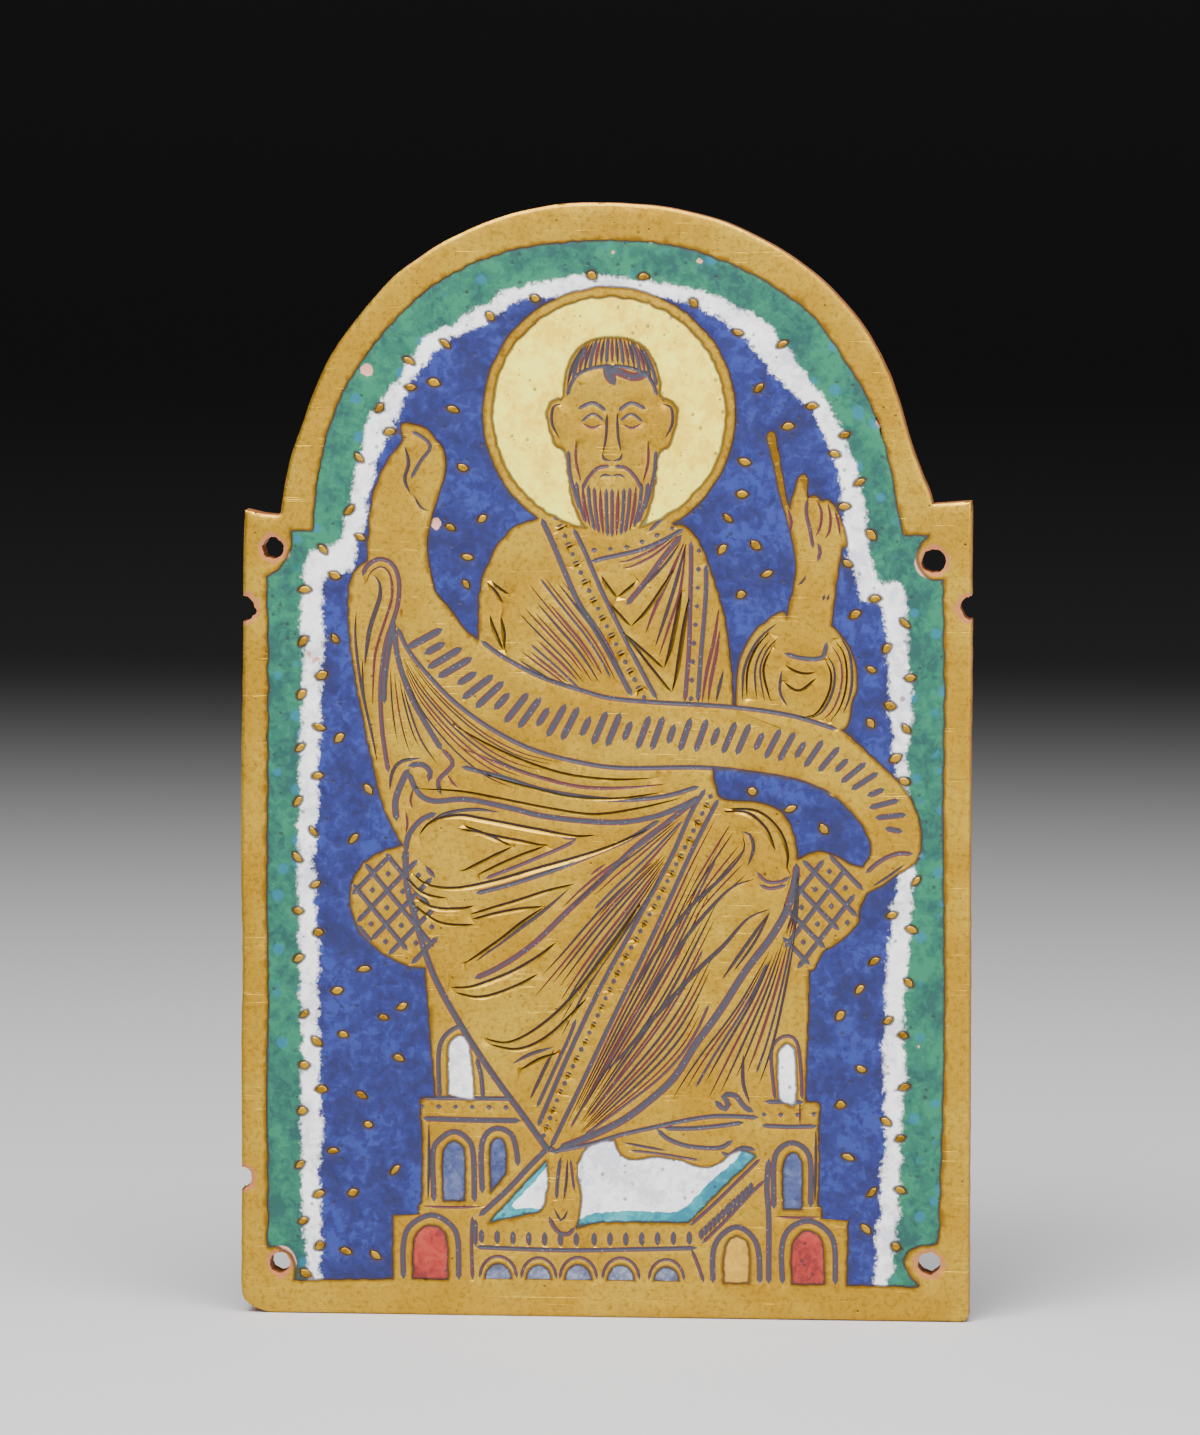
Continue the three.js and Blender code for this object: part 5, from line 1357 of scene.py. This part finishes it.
class Painter:
    """Adds nodes to one tree and joins them up."""

    def __init__(self, tree):
        self.tree = tree
        self.nodes, self.links = tree.nodes, tree.links

    def add(self, kind, **settings):
        node = self.nodes.new(kind)
        for name, value in settings.items():
            setattr(node, name, value)
        return node

    def put(self, target, value):
        if isinstance(value, bpy.types.NodeSocket):
            self.links.new(value, target)
        else:
            target.default_value = value

    def math(self, operation, first, second=0.0, third=0.0, clamp=False):
        node = self.add("ShaderNodeMath", operation=operation, use_clamp=clamp)
        for target, value in zip(node.inputs, (first, second, third)):
            self.put(target, value)
        return node.outputs[0]

    def span(self, value, low, high, start=0.0, end=1.0):
        """Turns the range low..high of a value into start..end, smoothly and held at both."""
        node = self.add("ShaderNodeMapRange", interpolation_type="SMOOTHSTEP")
        for name, given in (("Value", value), ("From Min", low), ("From Max", high), ("To Min", start),
                            ("To Max", end)):
            self.put(node.inputs[name], given)
        return node.outputs["Result"]

    def mix(self, share, first, second, blend="MIX"):
        node = self.add("ShaderNodeMix", data_type="RGBA", blend_type=blend)
        self.put(node.inputs[0], share)
        self.put(node.inputs[6], first)
        self.put(node.inputs[7], second)
        return node.outputs[2]

    def noise(self, vector, scale, detail=3.0, roughness=0.55, distortion=0.0):
        node = self.add("ShaderNodeTexNoise")
        self.put(node.inputs["Vector"], vector)
        for name, value in (("Scale", scale), ("Detail", detail), ("Roughness", roughness),
                            ("Distortion", distortion)):
            self.put(node.inputs[name], value)
        return node.outputs["Fac"]

    def cells(self, vector, scale, output="Distance"):
        node = self.add("ShaderNodeTexVoronoi")
        self.put(node.inputs["Vector"], vector)
        self.put(node.inputs["Scale"], scale)
        return node.outputs[output]

    def place(self):
        return self.add("ShaderNodeTexCoord").outputs["Object"]

    def mark(self, name):
        return self.add("ShaderNodeAttribute", attribute_name=name).outputs["Fac"]

    def stretch(self, vector, scale, turn=0.0):
        node = self.add("ShaderNodeMapping")
        self.put(node.inputs["Vector"], vector)
        node.inputs["Scale"].default_value = scale
        node.inputs["Rotation"].default_value = (0, turn, 0)
        return node.outputs[0]

    def group(self, tree, **values):
        node = self.add("ShaderNodeGroup", node_tree=tree)
        for name, value in values.items():
            self.put(node.inputs[name.replace("_", " ").capitalize()], value)
        return node.outputs


def new_group(name, inputs, outputs):
    """A shader node group with its named sockets, and a painter for what is inside."""
    tree = bpy.data.node_groups.new(name, "ShaderNodeTree")
    for label, kind, value in inputs:
        socket(tree, label, kind, value)
    for label, kind in outputs:
        socket(tree, label, kind, output=True)
    painter = Painter(tree)
    return tree, painter, painter.add("NodeGroupInput").outputs, painter.add("NodeGroupOutput").inputs


def scratches_group():
    """Fine lines left by cleaning: most run level, some lean."""
    tree, paint, given, result = new_group(
        "fine_scratches",
        [("Vector", "NodeSocketVector", None), ("Amount", "NodeSocketFloat", 0.5)],
        [("Mask", "NodeSocketFloat")])
    total = None
    for turn, seed, low in ((0.06, 0.0, 0.66), (-0.25, 0.3, 0.70), (0.9, 0.7, 0.72)):
        shifted = paint.add("ShaderNodeVectorMath", operation="ADD")
        paint.put(shifted.inputs[0], given["Vector"])
        shifted.inputs[1].default_value = (seed, seed / 2, seed)
        lines = paint.noise(paint.stretch(shifted.outputs[0], (180, 180, 6500), turn), 1.0, 2.0, 0.5)
        where = paint.noise(paint.stretch(shifted.outputs[0], (260, 260, 260)), 1.0, 1.0)
        mask = paint.math("MULTIPLY", paint.span(lines, low, low + 0.08), paint.span(where, 0.45, 0.65))
        total = mask if total is None else paint.math("MAXIMUM", total, mask)
    paint.put(result["Mask"], paint.math("MULTIPLY", total, given["Amount"]))
    return tree


def specks_group():
    """Small scattered spots: a few cells of a pattern, each with its own size."""
    tree, paint, given, result = new_group(
        "specks",
        [("Vector", "NodeSocketVector", None), ("Scale", "NodeSocketFloat", 900.0),
         ("Share", "NodeSocketFloat", 0.2), ("Size", "NodeSocketFloat", 0.3)],
        [("Mask", "NodeSocketFloat")])
    node = paint.add("ShaderNodeTexVoronoi")
    paint.put(node.inputs["Vector"], given["Vector"])
    paint.put(node.inputs["Scale"], given["Scale"])
    chance = paint.add("ShaderNodeSeparateColor")
    paint.put(chance.inputs[0], node.outputs["Color"])
    chosen = paint.math("LESS_THAN", chance.outputs[0], given["Share"])
    reach = paint.math("MULTIPLY", given["Size"], paint.math("ADD", chance.outputs[1], 0.35))
    edge = paint.math("MULTIPLY", reach, 0.6)
    near = paint.span(node.outputs["Distance"], edge, reach, 1.0, 0.0)
    paint.put(result["Mask"], paint.math("MULTIPLY", near, chosen))
    return tree


def glass_grain_group():
    """Ground glass melted in a cell: a base colour with paler and darker grains, and their height."""
    tree, paint, given, result = new_group(
        "glass_grain",
        [("Vector", "NodeSocketVector", None), ("Base", "NodeSocketColor", (0.5, 0.5, 0.5, 1)),
         ("Pale", "NodeSocketColor", (0.8, 0.8, 0.8, 1)), ("Deep", "NodeSocketColor", (0.1, 0.1, 0.1, 1)),
         ("Scale", "NodeSocketFloat", 1400.0), ("Mottle", "NodeSocketFloat", 0.5)],
        [("Color", "NodeSocketColor"), ("Height", "NodeSocketFloat")])
    broad = paint.noise(given["Vector"], paint.math("MULTIPLY", given["Scale"], 0.22), 3.0, 0.6)
    fine = paint.noise(given["Vector"], given["Scale"], 3.0, 0.7, 0.6)
    pale = paint.math("MULTIPLY", paint.span(paint.math("ADD", fine, broad), 1.0, 1.17), given["Mottle"])
    deep = paint.math("MULTIPLY", paint.span(paint.math("ADD", fine, broad), 1.0, 0.83), given["Mottle"])
    shade = paint.mix(pale, given["Base"], given["Pale"])
    shade = paint.mix(deep, shade, given["Deep"])
    paint.put(result["Color"], shade)
    paint.put(result["Height"], paint.math("ADD", paint.math("MULTIPLY", fine, 0.4), broad))
    return tree


def pits_group(specks):
    """Bubbles that broke at the glass's skin: small dark holes of two sizes."""
    tree, paint, given, result = new_group(
        "pits", [("Vector", "NodeSocketVector", None)], [("Mask", "NodeSocketFloat")])
    small = paint.group(specks, vector=given["Vector"], scale=1700.0, share=0.10, size=0.30)["Mask"]
    large = paint.group(specks, vector=given["Vector"], scale=640.0, share=0.06, size=0.22)["Mask"]
    paint.put(result["Mask"], paint.math("MAXIMUM", small, large))
    return tree


def fused_border_group():
    """A border between two glasses that ran together: 0 before it and 1 past it, with a granular edge."""
    tree, paint, given, result = new_group(
        "fused_border",
        [("Vector", "NodeSocketVector", None), ("Way", "NodeSocketFloat", 0.0),
         ("Reach", "NodeSocketFloat", 4.0)],
        [("Mask", "NodeSocketFloat")])
    grains = paint.noise(given["Vector"], 2600.0, 3.0, 0.7, 0.4)
    waver = paint.noise(given["Vector"], 420.0, 2.0, 0.5)
    push = paint.math("SUBTRACT", paint.math("ADD", grains, paint.math("MULTIPLY", waver, 0.5)), 0.75)
    moved = paint.math("ADD", given["Way"], paint.math("MULTIPLY", push, paint.math("MULTIPLY", given["Reach"], 4.0)))
    paint.put(result["Mask"], paint.span(moved, -2.6, 2.6))
    return tree


@functools.lru_cache(maxsize=1)
def groups():
    specks = specks_group()
    return {"scratches": scratches_group(), "specks": specks, "grain": glass_grain_group(),
            "pits": pits_group(specks), "border": fused_border_group()}


def new_material(name):
    made = bpy.data.materials.new(name)
    made.use_nodes = True
    shader = made.node_tree.nodes["Principled BSDF"]
    return made, Painter(made.node_tree), shader


def add_bump(paint, shader, height, distance):
    bump = paint.add("ShaderNodeBump")
    bump.inputs["Distance"].default_value = distance
    paint.put(bump.inputs["Height"], height)
    paint.put(shader.inputs["Normal"], bump.outputs[0])


def gilt_material(looks, name="gilt", edged=False):
    made, paint, shader = new_material(name)
    place = paint.place()
    shade = paint.mix(paint.span(paint.noise(place, 160.0, 4.0, 0.6), 0.35, 0.68), looks.gold, looks.gold_pale)
    shade = paint.mix(paint.span(paint.noise(place, 2400.0, 5.0, 0.8), 0.46, 0.66, 0.0, 0.55), shade,
                      looks.gold_brown)
    wear = paint.mark("wear")
    torn = paint.math("ADD", wear, paint.math("MULTIPLY", paint.noise(place, 1300.0, 4.0, 0.7), 0.9))
    copper = paint.span(torn, 0.92, 1.12)
    shade = paint.mix(paint.math("MULTIPLY", copper, 0.75), shade, looks.copper)
    spots = paint.group(groups()["specks"], vector=place, scale=1100.0, share=0.11, size=0.24)["Mask"]
    large_spots = paint.group(groups()["specks"], vector=place, scale=330.0, share=0.05, size=0.16)["Mask"]
    spots = paint.math("MAXIMUM", spots, large_spots)
    shade = paint.mix(paint.math("MULTIPLY", spots, 0.7), shade, looks.stain)
    rim = paint.span(paint.mark("rim"), 0.5, 0.95, 0.0, 0.9)
    shade = paint.mix(rim, shade, looks.gold_brown)
    lines = paint.group(groups()["scratches"], vector=place, amount=1.0)["Mask"]
    shade = paint.mix(paint.math("MULTIPLY", lines, 0.6), shade, looks.gold_pale)
    paint.put(shader.inputs["Base Color"], shade)
    shader.inputs["Metallic"].default_value = 0.92
    rough = paint.span(paint.noise(place, 500.0, 3.0), 0.3, 0.7, 0.34, 0.46)
    rough = paint.math("ADD", rough, paint.math("MULTIPLY", paint.math("ADD", spots, copper), 0.2))
    paint.put(shader.inputs["Roughness"], rough)
    height = paint.math("ADD", paint.noise(place, 1500.0, 3.0, 0.6), paint.math("MULTIPLY", lines, -0.8))
    height = paint.math("SUBTRACT", height, paint.math("MULTIPLY", spots, 0.9))
    add_bump(paint, shader, height, 0.00003)
    return made


def drop_material(looks):
    """Gold that turns darker, to the stains' colour, down each drop's side towards its foot."""
    made, paint, shader = new_material("drop_gilt")
    place = paint.place()
    depth = paint.add("ShaderNodeSeparateXYZ")
    paint.put(depth.inputs[0], place)
    low = paint.span(depth.outputs["Y"], METAL_LEVEL, METAL_LEVEL + 0.00006)
    shade = paint.mix(paint.span(paint.noise(place, 700.0, 4.0, 0.65), 0.4, 0.7), looks.gold, looks.gold_brown)
    # Darker with depth down each drop's side, towards where it meets the glass.
    shade = paint.mix(low, shade, looks.stain)
    paint.put(shader.inputs["Base Color"], shade)
    shader.inputs["Metallic"].default_value = 0.9
    paint.put(shader.inputs["Roughness"], paint.span(paint.noise(place, 900.0, 2.0), 0.3, 0.7, 0.3, 0.45))
    add_bump(paint, shader, paint.noise(place, 2200.0, 3.0, 0.6), 0.00001)
    return made


def fill_material(looks):
    """The glass melted into the engraved lines: wine-red edges round a blue-grey middle."""
    made, paint, shader = new_material("line_fill")
    place = paint.place()
    core = paint.math("MULTIPLY", paint.mark("core"), paint.mark("blue_share"))
    grains = paint.noise(place, 2600.0, 3.0, 0.7)
    core = paint.math("ADD", core, paint.math("MULTIPLY", paint.math("SUBTRACT", grains, 0.5), 0.5))
    shade = paint.mix(paint.span(core, 0.18, 0.5), looks.line_edge, looks.line_core)
    specks = paint.group(groups()["specks"], vector=place, scale=3400.0, share=0.22, size=0.32)["Mask"]
    shade = paint.mix(paint.math("MULTIPLY", specks, 0.55), shade, looks.line_speck)
    # Dark with soot in the thin lines; on the open cuts' upper walls, painted shade with dirt.
    shade = paint.mix(paint.math("MULTIPLY", paint.mark("soot_and_shade"), 0.8), shade, looks.line_dark)
    paint.put(shader.inputs["Base Color"], shade)
    paint.put(shader.inputs["Roughness"], paint.span(grains, 0.3, 0.7, 0.38, 0.6))
    add_bump(paint, shader, grains, 0.00002)
    return made


def bare_material(looks):
    """Copper that was never gilded: brown, with darker and reddish patches."""
    made, paint, shader = new_material("bare_copper")
    place = paint.place()
    shade = paint.mix(paint.span(paint.noise(place, 130.0, 5.0, 0.65), 0.35, 0.7), looks.bare, looks.bare_deep)
    shade = paint.mix(paint.span(paint.noise(place, 420.0, 4.0, 0.6), 0.55, 0.75), shade, looks.copper)
    spots = paint.group(groups()["specks"], vector=place, scale=500.0, share=0.16, size=0.3)["Mask"]
    shade = paint.mix(paint.math("MULTIPLY", spots, 0.6), shade, looks.stain)
    paint.put(shader.inputs["Base Color"], shade)
    shader.inputs["Metallic"].default_value = 0.85
    paint.put(shader.inputs["Roughness"], paint.span(paint.noise(place, 300.0, 3.0), 0.3, 0.7, 0.42, 0.65))
    add_bump(paint, shader, paint.noise(place, 900.0, 4.0, 0.6), 0.00003)
    return made


def finish_glass(paint, shader, place, shade, height, looks):
    """What every glass shares: chips, dark pits, a dark seam where it meets the metal, and its skin."""
    pits = paint.group(groups()["pits"], vector=place)["Mask"]
    shade = paint.mix(paint.math("MULTIPLY", pits, 0.6), shade, looks.pit)
    chip = paint.math("ADD", paint.mark("wear"), paint.math("MULTIPLY", paint.noise(place, 2200.0, 3.0, 0.6), 0.3))
    chip = paint.span(chip, 0.38, 0.5)
    shade = paint.mix(chip, shade, looks.chip)
    seam = paint.math("ADD", paint.mark("rim"), paint.math("MULTIPLY", paint.noise(place, 1800.0, 2.0), 0.25))
    seam = paint.span(seam, 0.62, 0.92)
    shade = paint.mix(paint.math("MULTIPLY", seam, 0.85), shade, looks.seam)
    paint.put(shader.inputs["Base Color"], shade)
    rough = paint.span(paint.noise(place, 700.0, 3.0), 0.3, 0.7, 0.22, 0.4)
    paint.put(shader.inputs["Roughness"], paint.math("ADD", rough, paint.math("MULTIPLY", pits, 0.3)))
    lines = paint.group(groups()["scratches"], vector=place, amount=0.6)["Mask"]
    height = paint.math("SUBTRACT", height, paint.math("ADD", pits, paint.math("MULTIPLY", lines, 0.3)))
    add_bump(paint, shader, height, 0.00002)


def grained(paint, place, looks, stem, scale=1400.0, mottle=0.8):
    return paint.group(groups()["grain"], vector=place, base=getattr(looks, stem), pale=getattr(looks, f"{stem}_pale"),
                       deep=getattr(looks, f"{stem}_deep"), scale=scale, mottle=mottle)


def field_material(looks, name):
    """The border's three glasses, which ran together where they meet."""
    made, paint, shader = new_material(name)
    place = paint.place()
    green, white, blue = (grained(paint, place, looks, stem) for stem in ("green", "white", "blue"))
    spots = paint.group(groups()["specks"], vector=place, scale=620.0, share=0.5, size=0.42)["Mask"]
    green_shade = paint.mix(paint.math("MULTIPLY", spots, 0.7), green["Color"], looks.green_spot)
    past_green = paint.group(groups()["border"], vector=place, way=paint.mark("outer_way"), reach=3.5)["Mask"]
    past_white = paint.group(groups()["border"], vector=place, way=paint.mark("inner_way"), reach=4.0)["Mask"]
    shade = paint.mix(past_green, green_shade, white["Color"])
    shade = paint.mix(past_white, shade, blue["Color"])
    finish_glass(paint, shader, place, shade, green["Height"], looks)
    return made


def plain_glass_material(looks, name, stem, spot=None, scale=1400.0):
    made, paint, shader = new_material(name)
    place = paint.place()
    body = grained(paint, place, looks, stem, scale)
    shade = body["Color"]
    if spot:
        spots = paint.group(groups()["specks"], vector=place, scale=2300.0, share=0.16, size=0.3)["Mask"]
        shade = paint.mix(paint.math("MULTIPLY", spots, 0.85), shade, getattr(looks, spot))
    finish_glass(paint, shader, place, shade, body["Height"], looks)
    return made


# The add-on: sizes and colours


def colour(label, *values):
    return bpy.props.FloatVectorProperty(name=label, description=f"Colour of the {label.lower()}",
                                         default=tint(*values), size=4, subtype="COLOR", min=0, max=1)


class PlaqueLooks(bpy.types.PropertyGroup):
    """Colours of the gold and the glass"""

    gold: colour("Gold", 179, 137, 35)
    gold_pale: colour("Worn pale gold", 194, 158, 51)
    gold_brown: colour("Brownish gold", 121, 83, 15)
    copper: colour("Bared copper", 190, 118, 88)
    stain: colour("Stains", 66, 40, 24)
    bare: colour("Ungilded copper", 128, 84, 56)
    bare_deep: colour("Dark copper", 70, 48, 36)
    line_edge: colour("Line fill's edge", 86, 26, 28)
    line_core: colour("Line fill's middle", 50, 50, 62)
    line_speck: colour("Line fill's grains", 120, 120, 136)
    # Dark of the thin lines' soot, and painted shade with dirt on the open cuts' upper walls.
    line_dark: colour("Open lines", 18, 12, 10)
    pit: colour("Pits", 20, 18, 26)
    seam: colour("Seam beside metal", 44, 26, 20)
    chip: colour("Chipped glass", 205, 150, 130)
    green: colour("Green glass", 7, 91, 71)
    green_pale: colour("Pale green grains", 18, 114, 80)
    green_deep: colour("Deep green grains", 3, 62, 61)
    green_spot: colour("Turquoise spots", 3, 101, 129)
    white: colour("White glass", 232, 232, 234)
    white_pale: colour("Pale white grains", 250, 250, 250)
    white_deep: colour("Grey white grains", 196, 198, 206)
    blue: colour("Blue glass", 11, 23, 99)
    blue_pale: colour("Pale blue grains", 31, 51, 131)
    blue_deep: colour("Deep blue grains", 5, 11, 70)
    halo: colour("Halo glass", 247, 223, 67)
    halo_pale: colour("Pale halo grains", 249, 244, 88)
    halo_deep: colour("Yellow halo grains", 230, 191, 34)
    red: colour("Red glass", 152, 32, 22)
    red_pale: colour("Pale red grains", 165, 57, 39)
    red_deep: colour("Deep red grains", 106, 12, 11)
    yellow: colour("Yellow glass", 182, 137, 21)
    yellow_pale: colour("Pale yellow grains", 200, 154, 35)
    yellow_deep: colour("Olive grains", 146, 107, 10)
    window: colour("Window blue glass", 59, 71, 117)
    window_pale: colour("Pale window grains", 85, 94, 131)
    window_deep: colour("Deep window grains", 34, 44, 93)
    turquoise: colour("Turquoise glass", 24, 134, 146)
    turquoise_pale: colour("Pale turquoise grains", 70, 160, 165)
    turquoise_deep: colour("Deep turquoise grains", 8, 100, 124)
    grey: colour("Grey glass", 92, 98, 124)
    grey_pale: colour("Pale grey grains", 130, 136, 160)
    grey_deep: colour("Deep grey grains", 60, 60, 84)


class PlaqueStage(bpy.types.PropertyGroup):
    """Camera, lights and floor"""

    turn: bpy.props.FloatProperty(name="Camera turn", description="Angle of the camera round the plaque",
                                  default=math.radians(5), subtype="ANGLE")
    rise: bpy.props.FloatProperty(name="Camera rise", description="Angle of the camera above the level",
                                  default=math.radians(5), subtype="ANGLE")
    away: bpy.props.FloatProperty(name="Camera distance", description="From the plaque's front to the camera",
                                  default=0.6, unit="LENGTH")
    tall: bpy.props.FloatProperty(name="View's height", description="Height of the view at the plaque",
                                  default=0.1119, unit="LENGTH")
    light: bpy.props.FloatProperty(name="Light", description="Strength of the lights together", default=0.78)
    floor: colour("Floor", 204, 204, 207)


def move_into_frame(made, slot, *nodes):
    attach(made, "root")
    if nodes:
        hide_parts(*nodes)


class PLAQUE_OT_copper(bpy.types.Operator):
    """Builds the engraved and gilded copper plate"""

    bl_idname = "plaque.copper"
    bl_label = "Copper plate"

    def execute(self, context):
        looks = context.scene.plaque_looks
        made = copper_body("gilded_plate", [gilt_material(looks), fill_material(looks), bare_material(looks)])
        move_into_frame(made, "gilded_copper", "copper_plate")
        return {"FINISHED"}


class PLAQUE_OT_field(bpy.types.Operator):
    """Builds the green border, the white bands and the blue ground"""

    bl_idname = "plaque.field"
    bl_label = "Green, white and blue glass"

    def execute(self, context):
        looks = context.scene.plaque_looks
        for name, owner, slot, nodes in (
            ("green_glass", "green", "green_enamel", ["green_border"]),
            ("white_glass", "white", "white_enamel", ["white_band_left_and_top", "white_band_right"]),
            ("blue_glass", "blue", "blue_enamel",
             [f"blue_ground_{level}_{side}" for level in ("lower", "upper") for side in ("left", "right")]),
        ):
            made = glass_body(name, [owner], [field_material(looks, name)])
            move_into_frame(made, slot, *nodes)
        return {"FINISHED"}


class PLAQUE_OT_halo(bpy.types.Operator):
    """Builds the halo's cream and yellow glass"""

    bl_idname = "plaque.halo"
    bl_label = "Halo glass"

    def execute(self, context):
        looks = context.scene.plaque_looks
        made = glass_body("halo_glass", ["halo"], [plain_glass_material(looks, "halo_glass", "halo", "stain")])
        move_into_frame(made, "halo_enamel", "halo_enamel")
        return {"FINISHED"}


class PLAQUE_OT_windows(bpy.types.Operator):
    """Builds the glass in the throne's windows and arches"""

    bl_idname = "plaque.windows"
    bl_label = "Throne's windows"

    def execute(self, context):
        looks = context.scene.plaque_looks
        for name, stem, slot, nodes in (
            ("white_windows", "white", "white_enamel", ["white_window_left", "white_window_right"]),
            ("blue_windows", "window", "window_blue_enamel",
             ["blue_window_left_outer", "blue_window_left_inner", "blue_window_right"]),
            ("red_arches", "red", "red_enamel", ["red_arch_left", "red_arch_right"]),
            ("yellow_arch_glass", "yellow", "yellow_enamel", ["yellow_arch"]),
        ):
            made = glass_body(name, nodes, [plain_glass_material(looks, name, stem)])
            move_into_frame(made, slot, *nodes)
        return {"FINISHED"}


class PLAQUE_OT_footstool(bpy.types.Operator):
    """Builds the footstool's white, turquoise and grey glass"""

    bl_idname = "plaque.footstool"
    bl_label = "Footstool's glass"

    def execute(self, context):
        looks = context.scene.plaque_looks
        for name, owner, stem, slot, nodes in (
            ("footstool_white_glass", "stool_white", "white", "white_enamel",
             ["footstool_white_right", "footstool_white_left"]),
            ("footstool_turquoise_glass", "stool_turquoise", "turquoise", "turquoise_enamel",
             ["footstool_turquoise_right", "footstool_turquoise_left"]),
            ("footstool_arch_glass", "stool_arch", "grey", "grey_enamel",
             [f"footstool_arch_{number}" for number in range(1, 6)]),
        ):
            made = glass_body(name, [owner], [plain_glass_material(looks, name, stem)])
            move_into_frame(made, slot, *nodes)
        return {"FINISHED"}


class PLAQUE_OT_drops(bpy.types.Operator):
    """Stands the small gold drops in the glass"""

    bl_idname = "plaque.drops"
    bl_label = "Gold drops"

    def execute(self, context):
        made = drops_body("gold_drops", drop_material(context.scene.plaque_looks))
        move_into_frame(made, "gilded_copper")
        return {"FINISHED"}


class PLAQUE_OT_stage(bpy.types.Operator):
    """Sets the floor, the lights and the camera"""

    bl_idname = "plaque.stage"
    bl_label = "Floor, lights and camera"

    def execute(self, context):
        set_stage(context.scene, context.scene.plaque_stage)
        return {"FINISHED"}


def sweep_mesh():
    """A pale floor that turns up behind the plaque into a backdrop."""
    profile = [(-0.9, 0.0), (1.5, 0.0)]
    bend, reach = 0.5, 2.2
    profile += [(1.5 + bend * math.sin(a), bend * (1 - math.cos(a))) for a in np.linspace(0.1, math.pi / 2, 16)]
    profile.append((1.5 + bend, 1.8))
    corners = [(x, y, BOTTOM + z) for y, z in profile for x in (-reach, reach)]
    faces = [(2 * i, 2 * i + 1, 2 * i + 3, 2 * i + 2) for i in range(len(profile) - 1)]
    mesh = bpy.data.meshes.new("floor")
    mesh.from_pydata(corners, [], faces)
    mesh.polygons.foreach_set("use_smooth", [True] * len(faces))
    return mesh


def floor_material(stage):
    made, paint, shader = new_material("floor")
    place = paint.place()
    split = paint.add("ShaderNodeSeparateXYZ")
    paint.put(split.inputs[0], place)
    # Painted shade: the floor is painted darker towards the back and up the backdrop, nearly black there, in place of
    # the light's falloff.
    dark = paint.span(split.outputs["Y"], 0.10, 0.66)
    shade = paint.mix(dark, stage.floor, tint(24, 24, 26))
    paint.put(shader.inputs["Base Color"], shade)
    shader.inputs["Roughness"].default_value = 0.75
    return made


LIGHTS = (
    # name, place, size across and down, strength in watts, colour
    ("key", (-0.25, -0.55, 0.65), (0.5, 0.4), 9.0, (1.0, 0.98, 0.95)),
    ("fill", (0.55, -0.60, 0.25), (0.5, 0.6), 4.0, (0.96, 0.98, 1.0)),
    ("top", (0.02, -0.14, 0.34), (0.35, 0.22), 3.2, (1.0, 0.99, 0.97)),
    ("front", (0.0, -1.0, 0.25), (1.2, 0.8), 7.0, (1.0, 1.0, 1.0)),
)


def aimed(made, target):
    made.rotation_euler = (Vector(target) - made.location).to_track_quat("-Z", "Y").to_euler()


def set_stage(scene, stage):
    mesh = sweep_mesh()
    mesh.materials.append(floor_material(stage))
    floor = bpy.data.objects.new("floor", mesh)
    scene.collection.objects.link(floor)
    for name, place, (wide, high), strength, shade in LIGHTS:
        data = bpy.data.lights.new(name, "AREA")
        data.shape, data.size, data.size_y = "RECTANGLE", wide, high
        data.energy, data.color = strength * stage.light, shade
        made = bpy.data.objects.new(name, data)
        made.location = place
        aimed(made, (0, 0, 0))
        scene.collection.objects.link(made)
    world = bpy.data.worlds.new("studio")
    world.use_nodes = True
    world.node_tree.nodes["Background"].inputs[0].default_value = (0.5, 0.51, 0.53, 1)
    world.node_tree.nodes["Background"].inputs[1].default_value = 0.35
    scene.world = world
    data = bpy.data.cameras.new("camera")
    data.sensor_fit, data.sensor_height, data.sensor_width = "VERTICAL", 36, 36
    data.lens = 36 * stage.away / stage.tall
    data.clip_start, data.clip_end = 0.01, 20
    camera = bpy.data.objects.new("camera", data)
    target = Vector((-0.000156, FRONT, 0.0037))
    way = Vector((math.sin(stage.turn) * math.cos(stage.rise), -math.cos(stage.turn) * math.cos(stage.rise),
                  math.sin(stage.rise)))
    camera.location = target + way * stage.away
    aimed(camera, target)
    scene.collection.objects.link(camera)
    scene.camera = camera


STEPS = (PLAQUE_OT_copper, PLAQUE_OT_field, PLAQUE_OT_halo, PLAQUE_OT_windows, PLAQUE_OT_footstool,
         PLAQUE_OT_drops, PLAQUE_OT_stage)


class PLAQUE_PT_panel(bpy.types.Panel):
    """Lists the plaque's steps, its colours and its stage"""

    bl_label = "Plaque"
    bl_idname = "PLAQUE_PT_panel"
    bl_space_type = "VIEW_3D"
    bl_region_type = "UI"
    bl_category = "Plaque"

    def draw(self, context):
        for step in STEPS:
            self.layout.operator(step.bl_idname)
        for group in (context.scene.plaque_looks, context.scene.plaque_stage):
            for name in group.bl_rna.properties.keys():
                if name not in ("rna_type", "name"):
                    self.layout.prop(group, name)


CLASSES = (PlaqueLooks, PlaqueStage, *STEPS, PLAQUE_PT_panel)


def register():
    for each in CLASSES:
        bpy.utils.register_class(each)
    bpy.types.Scene.plaque_looks = bpy.props.PointerProperty(type=PlaqueLooks)
    bpy.types.Scene.plaque_stage = bpy.props.PointerProperty(type=PlaqueStage)


def unregister():
    del bpy.types.Scene.plaque_stage
    del bpy.types.Scene.plaque_looks
    for each in reversed(CLASSES):
        bpy.utils.unregister_class(each)


def main():
    register()
    for step in STEPS:
        group, name = step.bl_idname.split(".")
        if getattr(getattr(bpy.ops, group), name)() != {"FINISHED"}:
            raise RuntimeError(f"{step.bl_label} was not finished")


if __name__ == "__main__":
    main()
